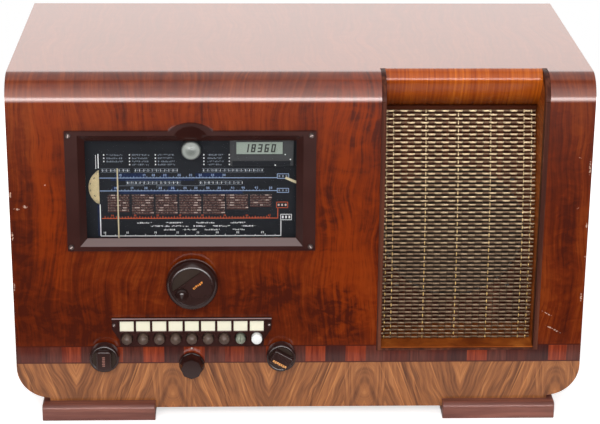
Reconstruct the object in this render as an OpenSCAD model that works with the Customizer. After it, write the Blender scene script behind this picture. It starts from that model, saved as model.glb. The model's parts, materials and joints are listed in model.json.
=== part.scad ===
// Push-button table radio in a bent walnut cabinet.
// Frame: millimetres, Z up, X to the right seen from the front, Y towards the back.
// The origin lies on the floor, in the middle of the width and of the whole depth.
// Most sub-parts are drawn with Y counted from the front face and moved by from_face().

/* [Cabinet] */
// Width of the cabinet
cab_w = 600; // [560:5:660]
// Depth from the front face to the back edge
cab_d = 315; // [312:1:360]
// Height from the floor to the top
cab_h = 376; // [372:1:410]
// Thickness of the bent plywood
ply = 10; // [8:0.5:11]
// Radius of the roll where the front turns into the top
roll_r = 26; // [20:1:34]
// Radius of the two lower corners
corner_r = 35; // [28:1:42]
// Height of the lower edge of the front above the floor
apron_z = 10; // [6:1:16]
// Distance from each side to the end of the lowered front edge
apron_inset = 34; // [30:1:60]
// Thickness of the perforated back
back_t = 3; // [2:0.5:5]
// How far the back lies inside the cabinet's edge
back_inset = 6; // [5:0.5:10]
// Thickness of the square glue battens
batten = 14; // [10:1:16]

/* [Feet] */
// Height of the feet
foot_h = 22; // [20:0.5:26]
// Width of each foot
foot_w = 120; // [80:5:130]
// Distance from the cabinet's side to the foot
foot_inset = 26.5; // [20:0.5:40]
// How far each foot stands out in front
foot_nose = 11.5; // [8:0.5:16]
// Height of the part that stands out
nose_h = 18.5; // [14:0.5:19.5]
// Radius of its upper front edge
nose_r = 5; // [2:0.5:7]

/* [Inlay] */
// Height of the inlay band's lower edge
band_z = 61.7; // [58:0.1:64]
// Height of the inlay band
band_h = 20.3; // [14:0.1:21]
// Thickness of its veneer
veneer_t = 0.8; // [0.5:0.1:1.5]

/* [Speaker bay] */
// Distance of the bay from the right-hand side
bay_side = 51.5; // [46:0.5:56]
// Clear width of the bay
bay_w = 162; // [150:1:168]
// Height of the bay's sill
bay_z = 79.2; // [78:0.1:90]
// Width of the bead round the bay
bead_w = 5; // [3:0.5:6]
// How far the bead stands proud
bead_proud = 1; // [0.5:0.1:2]
// Height of the bead under the sill
bead_h = 2.5; // [2:0.1:3.5]
// How far back the bay's own roll starts on the top
bay_set = 36; // [30:1:42]
// Radius of that roll's nose
cornice_r = 10; // [8:0.5:12]
// Radius of the long sweep under the nose
sweep_r = 72; // [64:1:80]
// Depth of the wire cloth at the foot of the bay
mesh_y = 21; // [16:0.5:26]
// Height at which the wire cloth starts to lean back
lean_z = 140; // [120:5:170]
// Thickness of the wire cloth
mesh_t = 1.6; // [1:0.1:2.5]
// Width of a wire row
wire_w = 2; // [1.4:0.1:2.6]
// Distance between modelled wire rows
wire_pitch = 5.05; // [5:0.05:8]
// Thickness of the bay's lining boards
lining_t = 6; // [4:0.5:7]
// Depth of the baffle board
baffle_y = 64; // [62:1:72]
// Thickness of the baffle board
baffle_t = 8; // [6:0.5:12]

/* [Speaker] */
// Height of the speaker's axis
speaker_z = 185; // [175:1:200]
// Radius of the speaker's rim
speaker_r = 89; // [84:0.5:92]
// Radius of the cone's opening
cone_r = 74; // [66:0.5:76]
// Depth of the speaker's basket
basket_d = 46; // [40:1:56]
// Radius of the magnet pot
magnet_r = 36; // [28:1:38]
// Length of the magnet pot
magnet_l = 42; // [30:1:60]

/* [Dial] */
// Distance of the middle of the dial and controls from the left-hand side
dial_side = 187; // [180:0.5:190]
// Height of the glass opening's lower edge
glass_z = 203.2; // [202:0.2:208]
// Width of the glass opening
glass_w = 216.2; // [210:0.2:220]
// Height of the glass opening
glass_h = 106.4; // [104:0.2:110]
// Width of the bezel's rim at the sides
rim_side = 13; // [10:0.5:15]
// Width of the bezel's rim above and below
rim_edge = 5; // [4:0.5:6]
// Width of the sloping face round the glass
slope_w = 7; // [5:0.5:8]
// How far the bezel stands proud
rim_proud = 5; // [3:0.5:7]
// Thickness of the glass
glass_t = 2.5; // [2:0.25:3]
// Radius of the arch over the tuning eye
arch_r = 35; // [30:1:40]
// How far the arch rises over the rim
arch_rise = 8.6; // [6:0.2:11]
// Radius of the tuning eye
eye_r = 10.25; // [8:0.25:10.5]
// Radius of the logging disc
disc_r = 18.3; // [14:0.1:18.5]
// Radius of the tuning drum, to the cord
drum_r = 54; // [48:0.5:54]
// Radius of the tuning spindle, to the cord
spindle_r = 4.9; // [4.6:0.1:6]
// Radius of the logging disc's pulley, to the belt
hub_r = 9.6; // [7:0.1:11]
// Thickness of the drive cord
cord_d = 1; // [0.8:0.1:1.2]

/* [Knobs and buttons] */
// Height of the tuning knob's axis
tune_z = 155; // [150:1:158]
// Radius of the tuning knob
tune_r = 27.4; // [22:0.2:28]
// Height of the outer knobs' axes
side_z = 72; // [70:0.5:74]
// Distance of the outer knobs from the group's centre
side_dx = 93.3; // [92:0.1:95]
// Radius of the outer knobs
side_r = 15.6; // [13:0.2:17]
// Height of the middle knob's axis
tone_z = 61.5; // [60:0.5:62.5]
// Radius of the middle knob
tone_r = 13.6; // [11:0.2:14.5]
// Half length of the grips of the outer knobs
grip_r = 11.2; // [10:0.1:13]
// How far the outer knobs stand out from the front
knob_proud = 19; // [17:0.5:24]
// Radius of the knob shafts
shaft_r = 3; // [2.5:0.25:3.2]
// Running clearance of shafts and stems
run_gap = 0.05; // [0.02:0.01:0.1]
// Distance between the buttons
key_pitch = 17.1; // [16.5:0.1:17.5]
// Height of the buttons' axes
key_z = 92.5; // [91:0.5:93]
// Radius of the button caps
key_r = 5.6; // [4.5:0.1:5.8]
// Travel of the buttons
key_travel = 5; // [3:0.5:6]
// How far the buttons stand out
key_proud = 11; // [10:0.5:13]
// Thickness of the button strip
strip_t = 4; // [3:0.25:5]

/* [Chassis] */
// Height of the chassis deck above the bottom board
chassis_h = 76; // [75:0.5:78]
// Thickness of the chassis sheet
sheet_t = 1.5; // [1:0.25:2]
// Distance of the chassis from the cabinet's left-hand side
chassis_side = 38; // [36:1:42]
// Distance of the chassis from the speaker bay
chassis_gap = 24.5; // [22:0.5:28]
// Width of the mains transformer
transformer_w = 76; // [66:1:80]
// Depth of the mains transformer
transformer_d = 70; // [60:1:76]
// Height of the mains transformer
transformer_h = 60; // [50:1:70]
// Length of the tuning gang
gang_l = 70; // [66:1:76]

/* [Hidden] */
$fn = 64;

walnut = [0.45, 0.2, 0.09];
light_walnut = [0.55, 0.3, 0.14];
plain_wood = [0.66, 0.5, 0.33];
bakelite = [0.16, 0.09, 0.08];
steel = [0.55, 0.56, 0.57];
brass = [0.72, 0.58, 0.3];
cream = [0.93, 0.89, 0.72];

// Front face, counted from the frame's origin
face_y = knob_proud - (cab_d + knob_proud) / 2;
half_w = cab_w / 2;
board_top = foot_h + ply;
deck_z = board_top + chassis_h;
back_y = cab_d - back_inset - back_t;
seat_gap = 0.3;
over = 1;

// Bay of the speaker
bay_x1 = half_w - bay_side;
bay_x = bay_x1 - bay_w;
bay_mid = bay_x + bay_w / 2;
lip_h = 1.2;
sill_t = 7;
notch_z = bay_z - lip_h - bead_h;
nose_angle = 25;
sweep_angle = 58;
cornice_c = [bay_set, cab_h - cornice_r];
sweep_c = cornice_c + (sweep_r - cornice_r) * [cos(nose_angle), sin(nose_angle)];
cornice_end = sweep_c - sweep_r * [cos(sweep_angle), sin(sweep_angle)];
mesh_top = [cornice_end[0] + 1, cornice_end[1] - seat_gap];
lean_dy = mesh_top[0] - mesh_y;
lean_r = (pow(mesh_top[1] - lean_z, 2) + lean_dy * lean_dy) / (2 * lean_dy);
lean_angle = asin((mesh_top[1] - lean_z) / lean_r);
mesh_bends = 4;
mesh_columns = 6;
speaker_bolt_r = speaker_r - 4;

// Layers behind the front, from the glass to the chassis
lip_t = 1.5;
glass_y = lip_t;
pointer_y = ply + 2;
plate_y = ply + 4;
plate_t = 1;
disc_y = plate_y + plate_t + 0.5;
cord_y = plate_y + 15;
belt_y = cord_y + 7;
frame_t = 1.2;
frame_y = belt_y + 4.8;
chassis_y = frame_y + frame_t;
chassis_y1 = cab_d - 25;
chassis_x0 = chassis_side - half_w;
chassis_x1 = bay_x - chassis_gap;

// Dial
dial_x = dial_side - half_w;
glass_x = dial_x - glass_w / 2;
glass_lap = 2.4;
opening_gap = 0.5;
bezel_x = glass_x - slope_w - rim_side;
bezel_w = glass_w + 2 * (slope_w + rim_side);
bezel_z = glass_z - slope_w - rim_edge;
bezel_h = glass_h + 2 * (slope_w + rim_edge) - 1;
scoop_r = 20;
scoop_d = 4.4;
plate_x = glass_x - 8;
plate_w = glass_w + 16;
plate_z = glass_z - 7.5;
plate_h = glass_h + 13;
eye_z = glass_z + 93;
disc_x = glass_x + 14.9;
disc_z = glass_z + 51.3;
window_r = disc_r + 0.6;
axis_x = disc_x - 2;
spindle_x = dial_x;
rotor_r = 4;
drum_gap = 3;
drum_flange = 1.5;
drum_x = bay_x - lining_t - drum_r - drum_flange - drum_gap;
drum_z = tune_z;
run_z = drum_z + drum_r;
rail_z = run_z + 6;
rail_y = cord_y - 5;
rail_r = 1.5;
post_r = 4.6;
post_x = glass_x + 2.1;
post_z = run_z - post_r;
pointer_x = glass_x + 32;
pointer_right = pointer_x + 159.1;
pointer_top = glass_z + 72.7;
pivot_x = glass_x + 251.7;
pivot_z = glass_z + 41.5;
pivot_r = 2;
lever_l = 50.9;
lever_angle = 24.3;
display_x = glass_x + 148.1;
display_w = 65.3;
display_z = glass_z + 76.4;
display_h = 31;
display_t = 6;
frame_x1 = max(pivot_x, drum_x + rotor_r + 2) + 10;
post_feet = [for (x = [plate_x + 6, plate_x + plate_w - 4]) for (z = [glass_z + 21.8, glass_z + 104.8]) [x, z]];

// Screws of the bezel, the button strip and the back
screw_r = 1.7;
screw_head_r = 3.2;
screw_head_h = 1.6;
screw_l = 9;
screw_gap = 0.1;
bezel_screws = [for (x = [bezel_x + 4, bezel_x + bezel_w - 5]) for (z = [bezel_z + 4.5, bezel_z + bezel_h - 4]) [x, z]];
strip_screws = [for (s = [-1, 1]) [dial_x - 0.9 + s * (key_pitch * 4 + 13.2), key_z + 15.1]];
batten_x = half_w - ply - batten / 2;
back_screws = [for (s = [-1, 1]) for (z = [foot_h + corner_r + 15, cab_h / 2 + 15, cab_h - 40]) [s * batten_x, z]];
bolt_r = 2.5;
chassis_bolts = [for (x = [chassis_x0 + 122, chassis_x1 - 12]) for (y = [chassis_y + 10, chassis_y1 - 10]) [x, y]];

// Grips of the outer knobs and the finger hole of the tuning knob
grip_half = 7.2;
finger_r = 6.8;

// Buttons
key_x0 = dial_x - 0.9 - 4 * key_pitch;
key_stem_r = 3;
key_hole_r = key_r + 0.6;
stem_back = chassis_y + 12;
bank_y = chassis_y + sheet_t + 1.5;
bank_d = 40;
label_w = 14.6;
label_h = 11.2;
label_t = 0.9;
label_z = key_z + 7.7;
strip_x0 = key_x0 - 15.5;
strip_x1 = key_x0 + 8 * key_pitch + 15.5;
strip_z0 = key_z - 9.7;
strip_z1 = key_z + 22.2;
strip_lip = 2;

// Controls: place, kind
volume_x = dial_x - side_dx;
waveband_x = dial_x + side_dx;
tone_x = dial_x - 1.4;
knob_gap = 1.5;
bush_r = 5;
bush_l = 9;
pot_r = 12;
pot_l = 16;
switch_r = 16;

// Tuning gang
gang_y0 = chassis_y + 8;
gang_half = 28;
gang_top = drum_z + 38;
vane_r = 26;
vane_t = 1;
vane_pitch = 4;
vanes = 13;
rest_turn = -11;
cord_sag = 0.08;

// Valves on the deck: place, bulb radius, height
valves = [for (v = [[47, 48, 16, 96], [102, 58, 17, 98], [167, 66, 16, 92], [142, 126, 17, 98], [122, 190, 20, 112]])
    v + [chassis_x0, chassis_y, 0, 0]];
cans = [for (c = [[12, 106, 15, 72], [-28, 106, 15, 72], [6, 170, 18, 84]]) c + [drum_x, chassis_y, 0, 0]];
socket_h = 8;

// Rear sockets
socket_r = 2.05;
socket_wall = 1.2;
sockets = [for (i = [0:3]) [chassis_x0 + 152 + 20 * i, board_top + 40]];
grommet = [chassis_x0 + 47, board_top + 40];

module from_face() {
    translate([0, face_y, 0]) children();
}

// A flat shape drawn in width and height, made y0 to y0 + d deep
module along_y(y0, d) {
    translate([0, y0 + d, 0]) rotate([90, 0, 0]) linear_extrude(d) children();
}

// A flat shape drawn in depth and height, made x0 to x0 + w wide
module along_x(x0, w) {
    translate([x0, 0, 0]) rotate([90, 0, 90]) linear_extrude(w) children();
}

// A round bar or hole along the depth
module rod_y(x, z, y0, y1, r) {
    translate([x, y1, z]) rotate([90, 0, 0]) cylinder(r = r, h = y1 - y0);
}

// A shape turned about the depth axis; its profile is drawn as radius and depth
module turned_y(x, z) {
    translate([x, 0, z]) rotate([-90, 0, 0]) rotate_extrude() children();
}

// A block from its two corners
module block(a, b) {
    translate(a) cube(b - a);
}

// Side view of the bent sheet
module sheet_profile() {
    square([ply, cab_h - roll_r]);
    translate([roll_r, cab_h - ply]) square([cab_d - roll_r, ply]);
    intersection() {
        translate([roll_r, cab_h - roll_r]) difference() {
            circle(r = roll_r);
            circle(r = roll_r - ply);
        }
        translate([0, cab_h - roll_r]) square(roll_r);
    }
}

// Side view of the room inside the bent sheet
module inside_profile(y1) {
    translate([ply, 0]) square([y1 - ply, cab_h - roll_r]);
    translate([roll_r, 0]) square([y1 - roll_r, cab_h - ply]);
    translate([roll_r, cab_h - roll_r]) circle(r = roll_r - ply);
}

// Front view of the cabinet, with the lowered edge cut out round the feet
module front_outline() {
    difference() {
        union() {
            translate([-half_w, foot_h + corner_r]) square([cab_w, cab_h - foot_h - corner_r]);
            translate([-half_w + corner_r, foot_h]) square([cab_w - 2 * corner_r, corner_r + over]);
            for (s = [-1, 1]) translate([s * (half_w - corner_r), foot_h + corner_r]) circle(r = corner_r);
            translate([-half_w + apron_inset, apron_z]) square([cab_w - 2 * apron_inset, foot_h - apron_z + over]);
        }
        for (s = [-1, 1]) translate([s * (half_w - foot_inset - foot_w / 2) - foot_w / 2, 0])
            square([foot_w, nose_h]);
    }
}

module screw_holes(places, y0, y1) {
    for (p = places) rod_y(p[0], p[1], y0, y1, screw_r + screw_gap);
}

module control_holes(y0, y1, r) {
    rod_y(volume_x, side_z, y0, y1, r);
    rod_y(waveband_x, side_z, y0, y1, r);
    rod_y(tone_x, tone_z, y0, y1, r);
}

module front_top_panel() {
    color(walnut) from_face() difference() {
        intersection() {
            along_x(-half_w, cab_w) sheet_profile();
            along_y(-over, cab_d + 2 * over) front_outline();
        }
        block([glass_x - glass_lap - opening_gap, -over, glass_z - glass_lap - opening_gap],
              [glass_x + glass_w + glass_lap + opening_gap, ply + over, glass_z + glass_h + glass_lap + opening_gap]);
        block([bay_x - bead_w, -over, notch_z], [bay_x1 + bead_w, bay_set, cab_h + over]);
        block([key_x0 - key_r - 2, -over, key_z - key_r - 1.5],
              [key_x0 + 8 * key_pitch + key_r + 2, ply + over, key_z + key_r + 1.5]);
        block([-half_w - over, -over, band_z], [half_w + over, veneer_t, band_z + band_h]);
        rod_y(spindle_x, tune_z, -over, ply + over, shaft_r + 3);
        control_holes(-over, ply + over, shaft_r + 3);
        screw_holes(bezel_screws, -over, ply + over);
        screw_holes(strip_screws, -over, ply + over);
    }
}

// Right-hand side with the bent lower corner
module side_board() {
    intersection() {
        along_y(ply, cab_d - ply) {
            translate([half_w - ply, foot_h + corner_r]) square([ply, cab_h - foot_h - corner_r]);
            translate([half_w - corner_r - 15, foot_h]) square([15, ply]);
            intersection() {
                translate([half_w - corner_r, foot_h + corner_r]) difference() {
                    circle(r = corner_r);
                    circle(r = corner_r - ply);
                }
                translate([half_w - corner_r, foot_h]) square(corner_r);
            }
        }
        along_x(0, cab_w) inside_profile(cab_d);
    }
}

module left_side() {
    color(walnut) from_face() mirror([1, 0, 0]) side_board();
}

module right_side() {
    color(walnut) from_face() side_board();
}

module bottom_board() {
    edge = half_w - corner_r - 15;
    color(plain_wood) from_face() difference() {
        block([-edge, ply, foot_h], [edge, cab_d, board_top]);
        for (p = chassis_bolts) translate([p[0], p[1], 0]) cylinder(r = bolt_r + screw_gap, h = board_top + over);
    }
}

module cabinet_battens() {
    low = foot_h + corner_r;
    color(plain_wood) from_face() for (s = [-1, 1]) translate([s * batten_x - batten / 2, 0, 0]) {
        block([0, ply, low], [batten, ply + batten, cab_h - roll_r - 2]);
        block([0, roll_r + 5, cab_h - ply - batten], [batten, back_y - batten - 2, cab_h - ply]);
        difference() {
            block([0, back_y - batten, low], [batten, back_y, cab_h - ply]);
            for (p = back_screws) rod_y(batten / 2, p[1], back_y - screw_l, back_y + over, screw_r + screw_gap);
        }
    }
}

module foot(side) {
    color([0.22, 0.1, 0.08]) from_face()
        along_x(side * (half_w - foot_inset - foot_w / 2) - foot_w / 2, foot_w) {
            translate([-foot_nose, 0]) square([foot_nose + ply, nose_h - nose_r]);
            translate([nose_r - foot_nose, 0]) square([foot_nose - nose_r + ply, nose_h]);
            translate([nose_r - foot_nose, nose_h - nose_r]) circle(r = nose_r);
            translate([ply, 0]) square([cab_d - 20 - ply, foot_h]);
        }
}

module inlay_band() {
    color([0.4, 0.13, 0.1]) from_face() difference() {
        block([-half_w, 0, band_z], [half_w, veneer_t, band_z + band_h]);
        block([bay_x - bead_w, -over, notch_z], [bay_x1 + bead_w, ply, cab_h]);
        control_holes(-over, ply, shaft_r + 3);
    }
}

module back_cover() {
    low = board_top + 1;
    high = cab_h - ply - 1;
    half = half_w - ply - 1;
    round_r = corner_r - ply - 1;
    columns = 11;
    rows = 5;
    vent_r = 6;
    color([0.4, 0.28, 0.17]) from_face() difference() {
        along_y(back_y, back_t) {
            translate([-half, low + round_r]) square([2 * half, high - low - round_r]);
            translate([round_r - half, low]) square([2 * (half - round_r), round_r + over]);
            for (s = [-1, 1]) translate([s * (half - round_r), low + round_r]) circle(r = round_r);
        }
        for (i = [0:columns - 1]) for (j = [0:rows - 1])
            rod_y((i / (columns - 1) - 0.5) * 1.7 * half, cab_h / 2 - 30 + 36 * j,
                  back_y - over, back_y + back_t + over, vent_r);
        block([chassis_x0 + 20, back_y - over, board_top + 20],
              [chassis_x1 - 30, back_y + back_t + over, board_top + 60]);
        screw_holes(back_screws, back_y - over, back_y + back_t + over);
    }
}

// A screw whose head sits at y and whose shank points along the given way
module screw_at(x, z, y, way) {
    rod_y(x, z, min(y, y - way * screw_head_h), max(y, y - way * screw_head_h), screw_head_r);
    rod_y(x, z, min(y, y + way * screw_l), max(y, y + way * screw_l), screw_r);
}

module panel_screws() {
    color(steel) from_face() {
        for (p = bezel_screws) screw_at(p[0], p[1], -rim_proud, 1);
        for (p = strip_screws) screw_at(p[0], p[1], -strip_t, 1);
        for (p = back_screws) screw_at(p[0], p[1], back_y + back_t, -1);
    }
}

module bay_bead() {
    color([0.25, 0.17, 0.14]) from_face() {
        for (x = [bay_x - bead_w, bay_x1]) along_x(x, bead_w) difference() {
            union() {
                sheet_profile();
                translate([-bead_proud, 0]) square([bead_proud, cab_h - roll_r]);
            }
            translate([-2 * ply, -over]) square([4 * ply, notch_z + over]);
            translate([bay_set, 0]) square([cab_d, 2 * cab_h]);
        }
        block([bay_x, -bead_proud, notch_z], [bay_x1, ply, notch_z + bead_h]);
    }
}

// Points of an arc about a centre, from one angle to another
function arc(c, r, a0, a1, steps) =
    [for (i = [0:steps]) let (a = a0 + (a1 - a0) * i / steps) [c[0] + r * cos(a), c[1] + r * sin(a)]];

module bay_cornice() {
    color([0.6, 0.3, 0.12]) from_face() along_x(bay_x, bay_w) polygon(concat(
        arc(cornice_c, cornice_r, 90, 180 + nose_angle, 16),
        arc(sweep_c, sweep_r, 180 + nose_angle + 3, 180 + sweep_angle, 12),
        [[baffle_y, cornice_end[1]], [baffle_y, cab_h - ply], [bay_set, cab_h - ply]]));
}

module bay_lining() {
    color(light_walnut) from_face() {
        intersection() {
            union() {
                block([bay_x - lining_t, ply, bay_z - sill_t], [bay_x, baffle_y, cab_h]);
                block([bay_x1, ply, bay_z - sill_t], [bay_x1 + lining_t, baffle_y, cab_h]);
            }
            along_x(0, cab_w) inside_profile(cab_d);
        }
        block([bay_x, ply, bay_z - sill_t], [bay_x1, baffle_y, bay_z]);
        block([bay_x, 0, bay_z - lip_h], [bay_x1, ply, bay_z]);
    }
}

module baffle_board() {
    color(plain_wood) from_face() difference() {
        block([bay_x - lining_t - 10, baffle_y, bay_z - 20],
              [bay_x1 + lining_t + 10, baffle_y + baffle_t, cab_h - ply - 4]);
        rod_y(bay_mid, speaker_z, baffle_y - over, baffle_y + baffle_t + over, cone_r + 2);
        for (a = [45:90:315]) rod_y(bay_mid + speaker_bolt_r * cos(a), speaker_z + speaker_bolt_r * sin(a),
            baffle_y - over, baffle_y + baffle_t + over, bolt_r + screw_gap);
    }
}

// Flat net of the wire cloth, drawn in width and height
module cloth_net(w, h) {
    rows = max(1, floor(h / wire_pitch));
    pitch = h / rows;
    column = w / mesh_columns;
    difference() {
        square([w, h]);
        for (i = [0:mesh_columns - 1]) for (j = [0:rows - 1])
            translate([i * column + wire_w / 2, j * pitch + wire_w / 2]) square([column - wire_w, pitch - wire_w]);
    }
}

// The wire cloth: the flat net cut out of a sheet that stands upright below and leans back above
module grille_mesh() {
    line = concat([[mesh_y, bay_z]], [for (i = [0:mesh_bends]) let (a = lean_angle * i / mesh_bends)
        [mesh_y + lean_r * (1 - cos(a)), lean_z + lean_r * sin(a)]]);
    behind = [for (i = [mesh_bends + 1:-1:0]) line[i] + [mesh_t, 0]];
    color(brass) from_face() intersection() {
        along_x(bay_x + seat_gap, bay_w - 2 * seat_gap) polygon(concat(line, behind));
        along_y(mesh_y - over, baffle_y - mesh_y)
            translate([bay_x + seat_gap, bay_z]) cloth_net(bay_w - 2 * seat_gap, mesh_top[1] - bay_z);
    }
}

module speaker_basket() {
    y0 = baffle_y + baffle_t;
    throat_r = magnet_r - 6;
    color([0.3, 0.31, 0.33]) from_face() difference() {
        turned_y(bay_mid, speaker_z) polygon([[cone_r + seat_gap, y0], [speaker_r, y0], [speaker_r, y0 + 2],
            [cone_r + 6, y0 + 2], [throat_r + 8, y0 + basket_d - 2], [throat_r + 8, y0 + basket_d],
            [throat_r - 12, y0 + basket_d], [throat_r - 12, y0 + basket_d - 2], [throat_r + 6, y0 + basket_d - 2],
            [cone_r + 4, y0 + 2], [cone_r + seat_gap, y0 + 2]]);
        for (a = [0:90:270]) translate([bay_mid, y0 + 10, speaker_z]) rotate([0, a, 0])
            translate([-18, 0, 0]) cube([36, basket_d - 16, speaker_r]);
        for (a = [45:90:315]) rod_y(bay_mid + speaker_bolt_r * cos(a), speaker_z + speaker_bolt_r * sin(a),
            y0 - over, y0 + 4, bolt_r + screw_gap);
    }
}

module speaker_cone() {
    y0 = baffle_y + baffle_t + 0.5;
    depth = basket_d - 10;
    color([0.2, 0.19, 0.18]) from_face() turned_y(bay_mid, speaker_z) polygon([
        [cone_r, y0], [cone_r - 4, y0], [14, y0 + depth], [0, y0 + depth - 6], [0, y0 + depth - 4.8],
        [13, y0 + depth + 1], [cone_r - 3, y0 + 1], [cone_r, y0 + 1]]);
}

module speaker_magnet() {
    y0 = baffle_y + baffle_t + basket_d;
    color([0.25, 0.26, 0.28]) from_face() {
        rod_y(bay_mid, speaker_z, y0, y0 + magnet_l, magnet_r);
        rod_y(bay_mid, speaker_z, y0 + magnet_l, y0 + magnet_l + 6, magnet_r - 8);
    }
}

module output_transformer() {
    y0 = baffle_y + baffle_t;
    z0 = bay_z - 16;
    color([0.35, 0.3, 0.26]) from_face() {
        block([bay_mid - 30, y0, z0], [bay_mid + 30, y0 + 1.5, z0 + 28]);
        block([bay_mid - 20, y0 + 1.5, z0], [bay_mid + 20, y0 + 34, z0 + 28]);
    }
}

module frame_bolts() {
    y0 = baffle_y + baffle_t + 2;
    color(steel) from_face() {
        for (p = chassis_bolts) translate([p[0], p[1], foot_h - 3]) {
            cylinder(r = bolt_r * 2, h = 3);
            cylinder(r = bolt_r, h = ply + 8);
        }
        for (a = [45:90:315]) translate([bay_mid + speaker_bolt_r * cos(a), 0, speaker_z + speaker_bolt_r * sin(a)]) {
            rod_y(0, 0, y0, y0 + 3, bolt_r * 1.5);
            rod_y(0, 0, baffle_y, y0, bolt_r);
        }
    }
}

module dial_bezel() {
    arch_c = [dial_x, bezel_z + bezel_h + arch_rise - arch_r];
    scoop_z = bezel_z + bezel_h + arch_rise - scoop_r - 2.5;
    scoop_ball = (scoop_r * scoop_r + scoop_d * scoop_d) / (2 * scoop_d);
    color(bakelite) from_face() difference() {
        union() {
            along_y(-rim_proud, rim_proud) {
                translate([bezel_x, bezel_z]) square([bezel_w, bezel_h]);
                intersection() {
                    translate(arch_c) circle(r = arch_r);
                    translate([dial_x - arch_r, bezel_z + bezel_h / 2]) square([2 * arch_r, bezel_h]);
                }
            }
            block([glass_x - glass_lap, -over, glass_z - glass_lap],
                  [glass_x + glass_w + glass_lap, lip_t, glass_z + glass_h + glass_lap]);
        }
        hull() {
            block([glass_x - slope_w, -rim_proud - 0.1, glass_z - slope_w],
                  [glass_x + glass_w + slope_w, -rim_proud, glass_z + glass_h + slope_w]);
            block([glass_x, lip_t - 1, glass_z], [glass_x + glass_w, lip_t - 0.9, glass_z + glass_h]);
        }
        block([glass_x, -over, glass_z], [glass_x + glass_w, lip_t + over, glass_z + glass_h]);
        translate([dial_x, -rim_proud - scoop_ball + scoop_d, scoop_z]) sphere(r = scoop_ball, $fn = 96);
        screw_holes(bezel_screws, -rim_proud - over, over);
    }
}

module dial_glass() {
    color([0.7, 0.8, 0.82, 0.3]) from_face() block([glass_x - glass_lap, glass_y, glass_z - glass_lap],
        [glass_x + glass_w + glass_lap, glass_y + glass_t, glass_z + glass_h + glass_lap]);
}

module scale_plate() {
    color([0.05, 0.06, 0.09]) from_face() difference() {
        block([plate_x, plate_y, plate_z], [plate_x + plate_w, plate_y + plate_t, plate_z + plate_h]);
        rod_y(dial_x, eye_z, plate_y - over, plate_y + plate_t + over, eye_r + 0.8);
        intersection() {
            rod_y(disc_x, disc_z, plate_y - over, plate_y + plate_t + over, window_r);
            block([axis_x - window_r, plate_y - over, disc_z - window_r],
                  [axis_x, plate_y + plate_t + over, disc_z + window_r]);
        }
    }
}

module dial_frame() {
    color(steel) from_face() difference() {
        union() {
            block([plate_x, frame_y, deck_z - 10], [frame_x1, chassis_y, plate_z + plate_h]);
            for (p = post_feet) rod_y(p[0], p[1], plate_y + plate_t, frame_y, 3);
            rod_y(spindle_x, tune_z, frame_y, chassis_y + 12, shaft_r + 4);
            rod_y(disc_x, disc_z, frame_y, chassis_y + 8, 5);
            rod_y(post_x, post_z, cord_y - 3, frame_y, post_r - cord_d / 2 - seat_gap);
            rod_y(post_x, post_z, cord_y + 1.5, frame_y, post_r + 1);
            rod_y(pivot_x, pivot_z, pointer_y - 1.2, frame_y, pivot_r);
            rod_y(pivot_x, pivot_z, pointer_y + 1, frame_y, pivot_r + 2);
            for (x = [post_x - post_r - 5.5, pointer_right + 14])
                block([x, rail_y - 2.5, rail_z - 2.5], [x + 4, frame_y, rail_z + 2.5]);
            translate([post_x - post_r - 5, rail_y, rail_z]) rotate([0, 90, 0])
                cylinder(r = rail_r, h = pointer_right + 16 - post_x + post_r + 5);
        }
        rod_y(spindle_x, tune_z, frame_y - over, chassis_y + 12 + over, shaft_r + run_gap);
        rod_y(disc_x, disc_z, frame_y - over, chassis_y + 8 + over, 2 + run_gap);
        rod_y(dial_x, eye_z, frame_y - over, chassis_y + over, eye_r + seat_gap);
        rod_y(drum_x, drum_z, frame_y - over, chassis_y + over, rotor_r + 2);
    }
}

module tuning_eye() {
    y0 = plate_y - 8;
    color([0.75, 0.8, 0.76, 0.6]) from_face() {
        turned_y(dial_x, eye_z) intersection() {
            translate([0, y0]) square([eye_r, 70]);
            union() {
                translate([0, y0 + 2 * eye_r]) circle(r = 2 * eye_r);
                translate([0, y0 + 4]) square([eye_r, 70]);
            }
        }
        rod_y(dial_x, eye_z, y0 + 70, y0 + 88, eye_r + 3);
    }
}

module frequency_display() {
    y0 = plate_y - display_t;
    color([0.12, 0.13, 0.14]) from_face() {
        difference() {
            block([display_x, y0, display_z], [display_x + display_w, plate_y, display_z + display_h]);
            block([display_x + 6.7, y0 - over, display_z + 13], [display_x + 54.2, y0 + 1.5, display_z + 28]);
        }
        block([display_x + 6.7, y0 + 0.6, display_z + 13], [display_x + 54.2, y0 + 1.5, display_z + 28]);
    }
}

module logging_disc() {
    groove = hub_r - cord_d / 2 - seat_gap;
    color(cream) from_face() {
        rod_y(disc_x, disc_z, disc_y, disc_y + 1, disc_r);
        rod_y(disc_x, disc_z, disc_y, chassis_y + 6, 2);
        turned_y(disc_x, disc_z) polygon([[0, belt_y - 2], [hub_r + 0.6, belt_y - 2], [hub_r + 0.6, belt_y - 1.2],
            [groove, belt_y - 1.2], [groove, belt_y + 1.2], [hub_r + 0.6, belt_y + 1.2], [hub_r + 0.6, belt_y + 2],
            [0, belt_y + 2]]);
    }
}

module dial_pointer() {
    arm_z = plate_z - 8;
    color(cream) from_face() {
        difference() {
            block([pointer_x - 6, rail_y - 3.5, run_z - 2.5], [pointer_x + 6, cord_y + 2, rail_z + 4]);
            translate([pointer_x - 7, rail_y, rail_z]) rotate([0, 90, 0]) cylinder(r = rail_r + run_gap, h = 14);
            translate([pointer_x - 7, cord_y, run_z]) rotate([0, 90, 0]) cylinder(r = cord_d / 2 + seat_gap, h = 14);
        }
        block([pointer_x - 1.5, rail_y - 3.5, arm_z], [pointer_x + 1.5, rail_y - 2, run_z - 2.5]);
        block([pointer_x - 1.5, pointer_y - 0.7, arm_z], [pointer_x + 1.5, rail_y - 2, arm_z + 2]);
        translate([pointer_x, pointer_y, arm_z]) cylinder(r = 0.7, h = pointer_top - arm_z);
    }
}

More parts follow.
